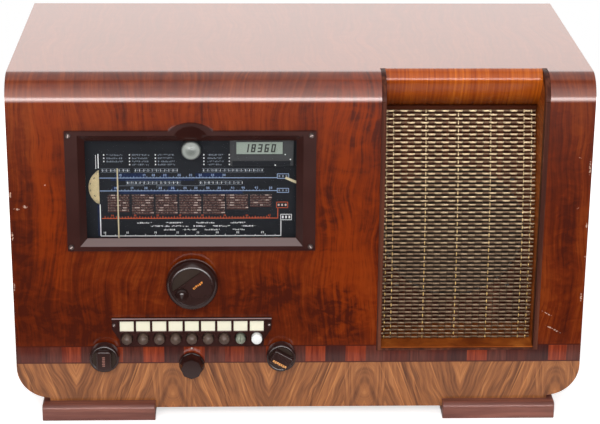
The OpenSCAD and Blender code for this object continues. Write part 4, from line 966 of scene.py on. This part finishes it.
@dataclass
class SlotScrews:
    """The slotted screws of the bezel, the button strip and the back, with countersunk heads.

    Fields: the heads' places as x, z and turn of the slot in degrees, then for each of the three sets the
    depth under the heads, which way the shanks point and the heads' radius, then the shanks' radius and length.
    """

    bezel: tuple = ((-237.1, 195.7, 35.0), (-237.1, 316.6, 80.0), (10.1, 195.7, -58.0), (10.1, 316.6, 20.0))
    strip: tuple = ((-195.5, 107.6, 60.0), (-32.3, 107.6, 10.0))
    back: tuple = tuple((x, z, 25.0 * i) for i, x in enumerate((-283.0, 283.0)) for z in (72.0, 203.0, 336.0))
    seats: tuple = ((-5.0, 1.0, 2.9), (-4.0, 1.0, 1.9), (309.0, -1.0, 3.0))
    shank_r: float = 1.7
    shank: float = 9.0

    def screw(self, shape: Shape, x: float, z: float, turn: float, y: float, way: float, head_r: float) -> None:
        """One screw: a turned profile from the top of its head to the end of its shank, and a pale plate over its
        slot that is a painted glint.
        """
        profile = np.array([(0, -1.3), (head_r * 0.7, -1.3), (head_r, -0.6), (head_r, 0), (self.shank_r, 0),
                            (self.shank_r, self.shank), (0, self.shank)])
        profile[:, 1] = y + way * profile[:, 1]
        shape.lathe(profile, x, z, sides=24)
        top = sorted((y - way * 1.36, y - way * 1.22))
        # Painted glint: a pale plate just proud of the head along the slot
        shape.plates(turned(np.array([(-head_r * 0.6, -0.3, head_r * 0.6, 0.3)]), x, z, turn), top[0], top[1], 1)

    def build(self) -> None:
        """Makes all the screws as one piece."""
        shape = Shape()
        for places, seat in zip((self.bezel, self.strip, self.back), self.seats):
            for place in places:
                self.screw(shape, *place, *seat)
        settle(shape.build("slot_screws", [Stuff.SCREW.value, Stuff.SLOT.value], 30.0), "panel_screws")


@dataclass
class Knobs:
    """The four moulded knobs, each with a bore for its shaft.

    Fields: radius of the shafts, end of the bores, the backs' depth. On the large knob: radius and depth of
    the recess, the depth of the raised face, the chord that cuts it, its radius, the place, radius and ball
    radius of the fingertip bowl, and points round a ring.
    """

    bore_r: float = 3.0
    bore_end: float = -10.0
    back_y: float = -1.5
    recess: tuple[float, float] = (20.5, -14.0)
    face_y: float = -16.5
    chord: float = 7.8
    disc_r: float = 20.9
    bowl: tuple[float, float, float] = (-13.2, 7.1, 7.7)
    sides: int = 240

    def skirt(self, shape: Shape, x: float, z: float, rim: Sequence[tuple[float, float]],
              face: Sequence[tuple[float, float]] = ()) -> None:
        """A turned body: the bore, the back and the rim in one finish, then any recessed face in another."""
        bore = [(0, self.bore_end), (self.bore_r, self.bore_end), (self.bore_r, self.back_y)]
        shape.lathe(np.array(bore + list(rim)), x, z, sides=96)
        if face:
            shape.lathe(np.array([rim[-1], *face]), x, z, sides=96, paint=1)

    def raised(self, shape: Shape, rings: np.ndarray, x: float, z: float, degrees: float) -> None:
        """A raised part: rings of (across, along, depth) points, shape (n, m, 3), turned and closed in front."""
        c, s = np.cos(np.radians(degrees)), np.sin(np.radians(degrees))
        across, along, depth = np.moveaxis(rings, -1, 0)
        pts = rows_of(x + c * across - s * along, depth, z + s * across + c * along)
        shape.loft(pts)
        shape.cap(pts[-1])

    def tuning_face(self) -> np.ndarray:
        """Rings of the large knob's raised face, with a round bowl for a fingertip.

        The face is a disc cut by one chord. It is drawn as rays from the middle of the bowl: the outer ring
        lies where each ray meets the disc or the chord, then rings run in to the edge of the bowl, and the
        bowl falls as the root of its own radius squared less the distance squared.
        """
        middle, bowl_r, ball_r = self.bowl
        lip = self.face_y + 0.3
        turn = np.linspace(0, 2 * np.pi, self.sides, endpoint=False)
        dx, dz = np.cos(turn), np.sin(turn)
        to_disc = -middle * dx + np.sqrt((middle * dx) ** 2 - middle ** 2 + self.disc_r ** 2)
        reach = np.minimum(to_disc, np.where(dz > 0.01, self.chord / np.maximum(dz, 0.01), 99.0))
        rings = [(reach, self.face_y + 3.0), (reach, lip), (reach - 0.3, self.face_y),
                 (bowl_r + 0.2, self.face_y), (bowl_r, lip)]
        rim = np.sqrt(ball_r ** 2 - bowl_r ** 2)
        rings += [(bowl_r * share, lip + np.sqrt(ball_r ** 2 - (bowl_r * share) ** 2) - rim)
                  for share in (0.96, 0.88, 0.76, 0.6, 0.4, 0.2, 0.05)]
        return np.stack([rows_of(middle + r * dx, r * dz, d) for r, d in rings])

    def grip(self) -> np.ndarray:
        """Rings of a side knob's grip: a block with rounded corners that narrows over its front edge.

        Each ring runs round four corner arcs: the corner's middle plus its radius along the ray.
        """
        turn = np.radians(np.arange(0, 360, 7.5) + 3.75)
        middle = np.stack([np.sign(np.cos(turn)) * 5.2, np.sign(np.sin(turn)) * 8.8], axis=-1)
        ray = np.stack([np.cos(turn), np.sin(turn)], axis=-1)
        rings = [(2.7, -11.5), (2.7, -17.2), (2.4, -18.1), (1.8, -18.7), (1.0, -18.92)]
        return np.stack([np.concatenate([middle + r * ray, np.full((48, 1), y)], axis=1) for r, y in rings])

    def octagon(self) -> np.ndarray:
        """Rings of the small knob's eight-sided body, with a corner at the top."""
        turn = np.radians(np.arange(0, 360, 45))
        rings = [(13.2, -3.0), (11.2, -16.4), (10.7, -17.0)]
        return np.stack([rows_of(r * np.cos(turn), r * np.sin(turn), y) for r, y in rings])

    def build(self) -> None:
        """Makes the four knobs. A rim ends in an arc: its middle plus its half sizes times cosine and sine."""
        bend = np.radians(np.arange(0, 91, 11.25))
        x, z, turn = TUNING
        recess_r, recess_y = self.recess
        large, tone = Shape(), Shape()
        rim = [(24.6, self.back_y), (27.4, -5.0)]
        rim += [(20.9 + 6.5 * np.cos(a), -8.2 - 8.3 * np.sin(a)) for a in bend] + [(20.7, -16.4), self.recess]
        self.skirt(large, x, z, rim)
        low = np.arcsin(self.chord / recess_r)
        arc = np.linspace(low, np.pi - low, 48) + np.radians(turn)
        large.cap(rows_of(x + recess_r * np.cos(arc), recess_y, z + recess_r * np.sin(arc)), 1)
        self.raised(large, self.tuning_face(), *TUNING)
        shapes = {"tuning_knob": large}
        rim = [(15.0, self.back_y), (15.6, -2.4), (15.6, -9.0)]
        rim += [(13.2 + 2.4 * np.cos(a), -10.5 - 2.0 * np.sin(a)) for a in bend] + [(12.4, -12.2)]
        for node, place in (("volume_knob", VOLUME), ("waveband_knob", WAVEBAND)):
            shapes[node] = Shape()
            self.skirt(shapes[node], *place[:2], rim, [(12.1, -12.0), (0, -12.0)])
            self.raised(shapes[node], self.grip(), *place)
        rim = [(13.0, self.back_y), (13.6, -2.2), (13.5, -3.2), (13.0, -4.0), (0, -4.0)]
        self.skirt(tone, *TONE[:2], rim)
        self.raised(tone, self.octagon(), *TONE)
        shapes["tone_knob"] = tone
        finishes = [Stuff.BAKELITE.value, Stuff.KNOB_FACE.value]
        for node, shape in shapes.items():
            piece = shape.build(f"{node}_look", finishes, 25.0 if shape is tone else 40.0)
            piece.modifiers.new("flat", "WEIGHTED_NORMAL").keep_sharp = True
            settle(piece, node)


@dataclass
class KnobMarks:
    """Coloured marks on the knobs and the pale dot over the tone knob. Plain ticks stand for words.

    Fields: front and back of the marks on the large knob and on the side knobs' grips, and the dot's place.
    """

    face_y: tuple[float, float] = (-16.57, -16.45)
    grip_y: tuple[float, float] = (-18.99, -18.86)
    dot: tuple[float, float] = (-114.4, 78.8)

    def build(self) -> None:
        """Lays each set of marks a little proud of its knob, on the knob's own body.

        Marks are (x0, z0, x1, z1) boxes from the knob's axis, before they turn with what they lie on.
        """
        word = [(a, -2.9, a + w, -1.2)
                for a, w in ((0.2, 1.2), (2.2, 0.7), (3.7, 1.5), (6.0, 1.3), (8.1, 1.6), (10.6, 1.5))]
        word += [(0.2, -3.3, 2.6, -2.9), (3.4, -1.2, 5.4, -0.8), (7.9, -3.3, 9.9, -2.9), (10.4, -1.2, 12.6, -0.8)]
        column = [(-1.4 - 0.3 * (i % 2), -5.4 + 1.9 * i, 1.2, -4.2 + 1.9 * i) for i in range(6)]
        row = [(-5.2 - 0.4 * (i % 2), -8.2 + 2.35 * i, -2.9, -6.4 + 2.35 * i) for i in range(7)]
        for name, marks, place, depth, look in (("tuning", word, TUNING, self.face_y, Stuff.MARK),
                                                ("volume", column, VOLUME, self.grip_y, Stuff.RED_MARK),
                                                ("waveband", row, WAVEBAND, self.grip_y, Stuff.PINK_MARK)):
            shape = Shape()
            shape.plates(turned(np.array(marks), *place), *depth)
            settle(shape.build(f"{name}_marks", [look.value]), f"{name}_knob", stands_for=False)
        dot = Shape()
        dot.lathe(np.array([(0, -0.35), (0.7, -0.3), (1.0, 0), (1.0, 0.2), (0, 0.2)]), *self.dot, sides=16)
        settle(dot.build("tone_dot", [Stuff.DOT.value]), "inlay_band", stands_for=False)


@dataclass
class DiscMarks:
    """Ticks round the logging disc, which turn with it.

    Fields: their number, inner and outer radius, how much longer every fifth one is, the two bars that stand
    for a number as boxes, and front and back of the print.
    """

    count: int = 100
    inner: float = 15.6
    outer: float = 17.6
    longer: float = 1.2
    bars: tuple = ((-0.9, 11.2, -0.3, 12.6), (0.2, 11.2, 0.8, 12.6))
    depth: tuple[float, float] = (15.42, 15.52)

    def build(self) -> None:
        """Lays a ring of ticks, every fifth one longer, and short bars in place of numbers."""
        angle = np.arange(self.count) * 360.0 / self.count
        long = np.where(np.arange(self.count) % 5 == 0, self.longer, 0.0)
        ticks = [turned(np.array([(-0.12, self.inner - extra, 0.12, self.outer)]), *DISC, a)
                 for a, extra in zip(angle, long)]
        bars = [turned(np.array(self.bars), *DISC, a) for a in angle[::10]]
        marks = Shape()
        marks.plates(np.concatenate(ticks + bars), *self.depth)
        settle(marks.build("disc_marks", [Stuff.INK.value]), "logging_disc", stands_for=False)


SEGMENTS = {"0": "abcdef", "1": "bc", "2": "abged", "3": "abgcd", "4": "fgbc", "5": "afgcd", "6": "afgedc",
            "7": "abc", "8": "abcdefg", "9": "abcdfg"}


def digit_strokes(text: str, x: float, z: float, height: float, stroke: float,
                  advance: float = 0.78) -> np.ndarray:
    """Strokes of plain seven-stroke numbers, half as wide as they are high.

    Args:
        text: digits and spaces.
        x, z: lower left corner of the first one.
        height: height of a digit.
        stroke: thickness of a stroke.
        advance: from one digit to the next, as a share of the height.

    Returns:
        Boxes as (x0, z0, x1, z1) rows.
    """
    w, h = height * 0.5, height / 2
    places = {"a": (0, 2 * h - stroke, w, 2 * h), "g": (0, h - stroke / 2, w, h + stroke / 2),
              "d": (0, 0, w, stroke), "f": (0, h, stroke, 2 * h), "b": (w - stroke, h, w, 2 * h),
              "e": (0, 0, stroke, h), "c": (w - stroke, 0, w, h)}
    return np.array([np.add(places[s], (x + i * height * advance, z) * 2)
                     for i, c in enumerate(text) if c in SEGMENTS for s in SEGMENTS[c]])


def turned(rows: np.ndarray, x: float, z: float, degrees: float) -> np.ndarray:
    """Four-cornered outlines of (x0, z0, x1, z1) rows, turned about nought and moved to (x, z)."""
    rows = np.atleast_2d(rows)
    corners = np.stack([rows[:, [0, 1]], rows[:, [2, 1]], rows[:, [2, 3]], rows[:, [0, 3]]], axis=1)
    c, s = np.cos(np.radians(degrees)), np.sin(np.radians(degrees))
    return corners @ np.array([[c, s], [-s, c]]) + [x, z]


def print_boxes(shape: Shape, rows: np.ndarray | Sequence, paint: int, y: float, thick: float = 0.06) -> None:
    """Adds flat (x0, z0, x1, z1) rows of print, with their fronts at a depth."""
    x0, z0, x1, z1 = np.asarray(rows, dtype=float).T
    shape.boxes(rows_of(x0, y, z0), rows_of(x1, y + thick, z1), paint)


class Ink(Enum):
    """Colours of the dial's print, as the number of the material slot."""

    WHITE = 0
    BLUE = 1
    SOFT = 2
    RED = 3
    TAN = 4
    NAVY = 5
    BLACK = 6
    BROWN = 7
    BRIGHT = 8


@dataclass
class ScalePrint:
    """The printing on the dial: lines, ticks, flags, bars and plain numbers. Lettering isn't copied.

    Fields: seed of the bars' lengths, the left end of the lines, the lines and the stripe in the margin, then
    for each block its places, with flags and patches as (x0, z0, x1, z1) boxes and a riser as its sides and
    its top. Last the round window's radius, and the crescent's half height, inner middle and inner radius.
    """

    seed: int = 7
    left: float = -207.8
    margin: tuple = ((-211.4, 275.0, -210.8, 290.0), (-209.1, 275.5, -208.1, 291.0),
                     (-208.3, 201.0, -207.3, 236.0))
    stripe: tuple = (-210.4, 201.0, -208.6, 235.0)
    list_x: tuple = ((-199.9, -181.2, 3), (-173.7, -155.0, 4), (-147.2, -128.5, 4), (-96.0, -79.2, 4))
    dot_x: tuple = (-202.7, -176.3, -149.7, -99.9, -73.7)
    list_z: tuple = (289.1, 285.5, 282.0, 278.6)
    boxed: tuple = ((-206.2, -175.7, 273.1), (-172.2, -126.5, 273.1), (-101.9, -37.9, 273.1),
                    (-180.6, -123.5, 259.6), (-105.2, -60.5, 259.6))
    blue_z: tuple = (264.9, 250.8)
    blue_flags: tuple = ((-24.5, 263.9, -12.1, 269.4), (-24.5, 248.5, -12.1, 253.5))
    blue_ticks: tuple = ((-186.0, -78.0), (-195.4, -29.0))
    blue_numbers: tuple = ((-186.5, -161.9, -152.1, -140.3, -125.5, -113.7, -103.8, -91.0, -79.2),
                           (-191.5, -174.7, -160.0, -145.2, -132.4, -119.6, -108.4, -96.0, -84.2, -70.4, -59.5,
                            -45.8, -31.0))
    patches: tuple = ((-191.5, 265.3, -160.0, 270.0), (-144.2, 265.3, -136.4, 269.0),
                      (-108.8, 265.3, -81.2, 270.0), (-194.4, 251.2, -189.5, 255.5),
                      (-137.3, 251.2, -129.4, 255.5), (-196.0, 261.9, -110.0, 264.0),
                      (-190.0, 247.6, -60.0, 250.0))
    brackets: tuple = ((-188.5, -162.0, 256.2), (-149.0, -99.0, 256.2))
    block_x: tuple = (-199.7, -174.7, -150.1, -125.5, -100.9, -76.7, -52.1)
    block_rows: tuple = (7, 8, 8, 8, 8, 6, 5)
    block_z: float = 245.3
    block_pitch: float = 2.75
    block_w: float = 22.3
    red_z: float = 220.5
    red_line: tuple = (-206.2, -23.0)
    red_riser: tuple = (-23.9, -23.1, 231.4)
    red_flag: tuple = (-25.1, 231.6, -12.9, 238.4)
    red_ticks: tuple = (-203.0, -30.0)
    red_numbers: tuple = (-195.0, -32.0, 8)
    towns: tuple = (((-169.8, -154.4), (-139.9, -121.6), (-108.4, -88.7), (-72.7, -56.6)),
                    ((-156.0, -136.3), (-133.8, -116.2), (-111.3, -97.3), (-91.0, -71.7), (-61.5, -45.7)),
                    ((-142.2, -129.4), (-122.5, -107.2), (-99.5, -82.8), (-70.4, -57.6)))
    town_z: tuple = (214.8, 211.1, 207.1)
    white_z: float = 201.0
    white_right: float = -20.0
    white_riser: tuple = (-20.6, -19.8, 218.0)
    white_flag: tuple = (-20.7, 218.2, -8.9, 224.9)
    white_ticks: tuple = (-203.0, -24.0)
    white_numbers: tuple = (-203.7, -180.2, -151.1, -128.1, -106.8, -86.5, -65.0, -39.3)
    window_r: float = 19.4
    crescent: tuple[float, float, float] = (19.0, -197.1, 22.1)

    def letters(self, x0: float, x1: float, z: float, h: float, rng: np.random.Generator) -> np.ndarray:
        """A word's place, filled with short strokes of random width and height."""
        step = rng.uniform(1.15, 1.9, 200)
        start = x0 + np.concatenate([[0], np.cumsum(step)])[:-1]
        end = start + step * rng.uniform(0.4, 0.72, 200)
        low = z + h * rng.choice([0.0, 0.0, 0.45], 200)
        high = z + h * rng.choice([1.0, 1.0, 0.6], 200)
        keep = (end < x1) & (high > low)
        return rows_of(start, low, end, high)[keep]

    def flag(self, put: object, box: tuple, ink: Ink, bars: Ink, inset: float = 0.0) -> None:
        """A small frame, and three bright bars in it that end short of it."""
        (x0, z0, x1, z1), t, gap = box, 0.6, inset + 1.5
        put([(x0, z0, x1, z0 + t), (x0, z1 - t, x1, z1), (x0, z0, x0 + t, z1), (x1 - t, z0, x1, z1)], ink)
        put([(x, z0 + gap, x + 1.7, z1 - gap) for x in np.linspace(x0 + 1.6, x1 - 3.4, 3)], bars)

    def ticks(self, x0: float, x1: float, step: float, z: float, h: float, thick: float = 0.2) -> np.ndarray:
        """Upright ticks on a line, every fourth one taller."""
        x = np.arange(x0, x1, step)
        tall = np.where(np.arange(len(x)) % 4 == 0, h * 1.5, h)
        return rows_of(x - thick, z, x + thick, z + tall)

    def numbers(self, put: object, count: tuple[int, int], places: Sequence[float], z: float,
                size: tuple[float, float], ink: Ink) -> None:
        """Plain two-digit numbers on a line, from the first value of count in steps of the second."""
        for i, x in enumerate(places):
            put(digit_strokes(f"{count[0] + count[1] * i:02d}", x - 1.6, z, *size), ink)

    def lists(self, put: object, rng: np.random.Generator) -> None:
        """The soft lists of bars at the top, with a dot before each row."""
        for x0, x1, rows in self.list_x:
            for k in range(rows):
                put(self.letters(x0, x1 - rng.uniform(0, 3), self.list_z[k], 1.7, rng), Ink.SOFT)
        for i, x in enumerate(self.dot_x):
            for k in range(3 if i == 0 else 4):
                put([(x - 0.6, self.list_z[k] + 0.2, x + 0.6, self.list_z[k] + 1.6)], Ink.WHITE)

    def boxes(self, put: object, rng: np.random.Generator) -> None:
        """Framed rows of bars."""
        for x0, x1, z in self.boxed:
            put([(x0, z - 2.1, x1, z - 1.8), (x0, z + 1.8, x1, z + 2.1)], Ink.SOFT)
            put(self.letters(x0 + 0.6, x1 - 0.6, z - 0.9, 1.8, rng), Ink.SOFT)
            low = np.arange(x0 + 1.5, x1, 4.3)
            put(rows_of(low, z - 1.2, low + 0.5, z + 1.3), Ink.WHITE)

    def blue_scales(self, put: object) -> None:
        """Two blue-white lines with flags, ticks, plain numbers and dark blue patches."""
        put(self.patches, Ink.NAVY, UNDER_Y)
        for z, flag, ends, places in zip(self.blue_z, self.blue_flags, self.blue_ticks, self.blue_numbers):
            put([(self.left, z - 0.33, flag[0], z + 0.33)], Ink.BLUE)
            self.flag(put, flag, Ink.BLUE, Ink.SOFT)
            put(self.ticks(*ends, 3.4, z, 1.3), Ink.BLUE)
            self.numbers(put, (14, 3), places, z + 1.9, (2.4, 0.5), Ink.BLUE)
        for x0, x1, z in self.brackets:
            put([(x0, z, x1, z + 0.35), (x0, z - 2.4, x0 + 0.35, z), (x1 - 0.35, z, x1, z + 2.4)], Ink.SOFT)

    def blocks(self, put: object, rng: np.random.Generator) -> None:
        """Seven blocks of tan rows on brown lines, each row with a brighter end."""
        wide = self.block_w
        for x, rows in zip(self.block_x, self.block_rows):
            bright = x + wide * rng.choice([0.3, 0.55, 0.8, 0.97], rows)
            for k, end in enumerate(bright):
                z = self.block_z - self.block_pitch * k
                put(self.letters(x, x + wide, z, 1.3, rng), Ink.TAN)
                put([(x, z - 1.1, x + wide, z - 0.4)], Ink.BROWN, UNDER_Y)
                put([(max(x, end - rng.uniform(2, 4)), z + 0.1, min(end + 1.0, x + wide), z + 1.2)], Ink.BRIGHT)

    def red_scale(self, put: object) -> None:
        """The red line with its riser, its flag, ticks and small numbers."""
        z = self.red_z
        left, right, top = self.red_riser
        put([(self.red_line[0], z - 0.4, self.red_line[1], z + 0.4), (left, z, right, top)], Ink.RED)
        self.flag(put, self.red_flag, Ink.RED, Ink.BRIGHT, 0.8)
        put(self.ticks(*self.red_ticks, 3.0, z + 0.4, 1.4, 0.35), Ink.RED)
        self.numbers(put, (20, -2), np.linspace(*self.red_numbers), z + 2.2, (2.0, 0.45), Ink.RED)

    def white_scale(self, put: object, rng: np.random.Generator) -> None:
        """The white line at the bottom with its riser, flag, ticks, numbers and the rows over it."""
        z = self.white_z
        left, right, top = self.white_riser
        put([(self.left, z - 0.45, self.white_right, z + 0.45), (left, z, right, top)], Ink.WHITE)
        self.flag(put, self.white_flag, Ink.WHITE, Ink.WHITE, 0.4)
        put(self.ticks(*self.white_ticks, 2.6, z, 1.2), Ink.SOFT)
        put(self.ticks(*self.white_ticks, 10.4, z, 1.4, 0.45), Ink.WHITE)
        self.numbers(put, (10, 2), self.white_numbers, z + 2.6, (2.2, 0.5), Ink.WHITE)
        for row_z, row in zip(self.town_z, self.towns):
            for x0, x1 in row:
                put(self.letters(x0, x1, row_z, 1.5, rng), Ink.WHITE)

    def window_edge(self, sheet: Shape) -> None:
        """The black crescent at the left of the round window.

        It fills the space between two arcs about the height of the disc: x is the centre less the root of
        the radius squared less the height squared, with a small circle outside and a larger one inside.
        """
        half, inner_x, inner_r = self.crescent
        up = np.linspace(-half, half, 33)
        outer, inner = DISC[0] - np.sqrt(self.window_r ** 2 - up ** 2), inner_x - np.sqrt(inner_r ** 2 - up ** 2)
        y = PRINT_Y - 0.05
        ring = np.stack([rows_of(a, b, DISC[1] + up)
                         for a, b in ((outer, y), (inner, y), (inner, y + 0.1), (outer, y + 0.1))], axis=1)
        sheet.loft(ring, Ink.BLACK.value)
        sheet.cap(ring[0], Ink.BLACK.value)
        sheet.cap(ring[-1], Ink.BLACK.value)

    def build(self) -> None:
        """Lays the whole print on the scale plate as one piece."""
        rng = np.random.default_rng(self.seed)
        sheet = Shape()

        def put(rows: np.ndarray | Sequence, ink: Ink, y: float = INK_Y) -> None:
            """Prints rows in one ink."""
            print_boxes(sheet, rows, ink.value, y)

        put(self.margin, Ink.WHITE)
        put([self.stripe], Ink.NAVY, UNDER_Y)
        self.lists(put, rng)
        self.boxes(put, rng)
        self.blue_scales(put)
        self.blocks(put, rng)
        self.red_scale(put)
        self.white_scale(put, rng)
        self.window_edge(sheet)
        finishes = [s.value for s in (Stuff.PRINT, Stuff.BLUE, Stuff.SOFT, Stuff.RED, Stuff.TAN, Stuff.NAVY,
                                      Stuff.SCALE, Stuff.BROWN, Stuff.BRIGHT_TAN)]
        settle(sheet.build("scale_print", finishes), "scale_plate", stands_for=False)


@dataclass
class DisplayFace:
    """The grey window of the small display with its slanted plain digits, and the dots on its frame.

    Fields: the window and the dark foot as boxes, the digits, their place, height and stroke, their slant,
    the dots as x, z and radius, and the depth of the digits' fronts.
    """

    window: tuple = (-66.3, 292.7, -19.0, 305.5)
    foot: tuple = (-70.5, 280.0, -11.0, 285.2)
    digits: str = "18360"
    digits_at: tuple[float, float] = (-58.6, 294.6)
    digit_size: tuple[float, float] = (8.8, 1.5)
    slant: float = 0.15
    dots: tuple = ((-16.2, 292.1, 0.6), (-10.9, 286.8, 0.7), (-26.5, 280.6, 0.8))
    front: float = 7.8

    def build(self) -> None:
        """Lays the window and the digits on the module's face."""
        face, front = Shape(), self.front
        print_boxes(face, [self.window], 0, front + 0.08)
        print_boxes(face, [self.foot], 3, front + 0.1)
        outlines = turned(digit_strokes(self.digits, 0.0, 0.0, *self.digit_size), 0.0, 0.0, 0.0)
        outlines[..., 0] += self.slant * outlines[..., 1]
        face.plates(outlines + self.digits_at, front, front + 0.06, 1)
        for x, z, r in self.dots:
            dot = np.array([(0, front), (r, front + 0.05), (r, front + 0.18), (0, front + 0.18)])
            face.lathe(dot, x, z, sides=12, paint=2)
        finishes = [s.value for s in (Stuff.LCD, Stuff.INK, Stuff.PRINT, Stuff.SCALE)]
        settle(face.build("display_face", finishes), "frequency_display", stands_for=False)


class Studio:
    """The camera, the white surroundings and the lamps. None of it belongs to the radio.

    Brightness is 1 for white: the plain light, the dim room, the wall behind, the window and the table's own
    glow. The window's middle and sides are given as across over ahead, full up to the first and faded out at
    the second.
    """

    ambient = 0.5
    room = 0.05
    behind = 0.95
    window_peak = 18.0
    window_x = 0.02
    window_side = (0.12, 0.62)
    table_glow = 0.6
    table = ((-900, -160, 0), (900, -160, 0), (900, 1200, 0), (-900, 1200, 0))
    # share of the window's brightness at each height above the level of the eye, as the sine of the angle
    window_rise = ((-0.3, 0.0), (-0.2, 0.08), (-0.12, 0.5), (0.0, 1.0), (0.06, 0.7), (0.12, 0.16), (0.2, 0.07),
                   (0.4, 0.06), (0.85, 0.08), (1.0, 0.05))
    # each lamp's name, size, place, aim, brightness, and whether it is mirrored
    lamps = (("window", (2.2, 1.4), (-300, -2400, 1500), (0, 0, 200), 5.0, False),
             ("ceiling", (2.0, 2.0), (0, 200, 2400), (0, 100, 300), 0.8, False),
             ("card", (4.5, 1.5), (0, 3200, 1300), (0, 100, 376), 0.95, True))
    lens = 114.5
    eye = (-63.608, -1853.909, 905.771)
    yaw, pitch, roll = 0.03385, 0.34836, 0.00885

    def camera(self) -> None:
        """Puts the camera where the photo was taken from: turned by yaw, tipped down by pitch, rolled."""
        ahead = np.array([np.sin(self.yaw) * np.cos(self.pitch), np.cos(self.yaw) * np.cos(self.pitch),
                          -np.sin(self.pitch)])
        right = np.array([np.cos(self.yaw), -np.sin(self.yaw), 0.0])
        up = np.cross(right, ahead)
        right, up = (np.cos(self.roll) * right + np.sin(self.roll) * up,
                     -np.sin(self.roll) * right + np.cos(self.roll) * up)
        turn = Matrix(np.stack([right, up, -ahead], axis=1).tolist()).to_4x4()
        data = bpy.data.cameras.new("camera")
        data.lens = self.lens
        data.sensor_width = 36.0
        data.clip_end = 50.0
        camera = bpy.data.objects.new("camera", data)
        camera.matrix_world = Matrix.Translation(Vector(metres(self.eye).tolist())) @ turn
        bpy.context.scene.collection.objects.link(camera)
        bpy.context.scene.camera = camera

    def world(self) -> None:
        """White to the eye and through glass, and a plain level as light.

        In gloss it is the room: white behind the radio and, before it, a window that is brightest at the
        level of the eye and fades upwards and to both sides, over a dim floor.
        """
        world = bpy.data.worlds.new("world")
        bpy.context.scene.world = world
        world.use_nodes = True
        g = Graph.of_world(world)
        path = g.tree.nodes.new("ShaderNodeLightPath").outputs
        x, y, z = g.axes(g.tree.nodes.new("ShaderNodeTexCoord").outputs["Generated"])
        rise = g.curve(z, self.window_rise)
        side = g.maths("DIVIDE", g.maths("ABSOLUTE", g.minus(x, self.window_x)), g.maths("ABSOLUTE", y))
        window = g.times(g.times(rise, self.window_peak), g.level(side, *self.window_side, 1.0, 0.0))
        before = g.times(g.level(y, -0.1, 0.1, 1.0, 0.0), g.plus(window, self.room))
        gloss = g.plus(before, g.level(y, -0.1, 0.1, 0.0, self.behind))
        seen = g.maths("MAXIMUM", path["Is Camera Ray"], path["Is Transmission Ray"])
        level = g.times(path["Is Glossy Ray"], g.minus(gloss, self.ambient), self.ambient)
        level = g.maths("MAXIMUM", g.times(level, g.minus(1.0, seen)), seen)
        back = world.node_tree.nodes["Background"]
        back.inputs["Color"].default_value = (1, 1, 1, 1)
        g.link(level, back.inputs["Strength"])

    def floor(self) -> None:
        """A white table, shown white to the eye where nothing shades it."""
        g = Graph("table_white")
        to_eye = g.tree.nodes.new("ShaderNodeLightPath").outputs["Is Camera Ray"]
        g.shade(Base_Color=(0.93, 0.93, 0.93, 1), Roughness=0.8, Emission_Color=(1, 1, 1, 1),
                Emission_Strength=g.times(to_eye, self.table_glow))
        mesh = bpy.data.meshes.new("table")
        mesh.from_pydata(metres(self.table).tolist(), [], [[0, 1, 2, 3]])
        mesh.materials.append(g.mat)
        table = bpy.data.objects.new("table", mesh)
        bpy.context.scene.collection.objects.link(table)

    def lamp(self, name: str, size: tuple[float, float], place: Sequence[float], aim: Sequence[float],
             radiance: float, gloss: bool) -> None:
        """A flat lamp.

        Args:
            name: its name.
            size: width and height in metres.
            place: its place in face-frame millimetres.
            aim: the point it faces.
            radiance: how bright its face is, 1 being white.
            gloss: whether it is mirrored.
        """
        data = bpy.data.lights.new(name, "AREA")
        data.shape = "RECTANGLE"
        data.size, data.size_y = size
        data.energy = radiance * np.pi * size[0] * size[1]
        lamp = bpy.data.objects.new(name, data)
        lamp.visible_glossy = gloss
        at, to = Vector(metres(place).tolist()), Vector(metres(aim).tolist())
        lamp.matrix_world = Matrix.Translation(at) @ (to - at).to_track_quat("-Z", "Y").to_matrix().to_4x4()
        bpy.context.scene.collection.objects.link(lamp)

    def build(self) -> None:
        """Sets up the whole studio."""
        self.camera()
        self.world()
        self.floor()
        for lamp in self.lamps:
            self.lamp(*lamp)
        bpy.context.scene.view_settings.view_transform = "Standard"


def main() -> None:
    """Dresses every CAD node, adds the fine pieces and sets up the studio."""
    Studio().build()
    for node, (finish, edge) in DRESS.items():
        dressed(node, finish.value, edge)
    for piece in (WireCloth(), SlotScrews(), Knobs(), KnobMarks(), DiscMarks(), ScalePrint(), DisplayFace()):
        piece.build()


if __name__ == "__main__":
    main()
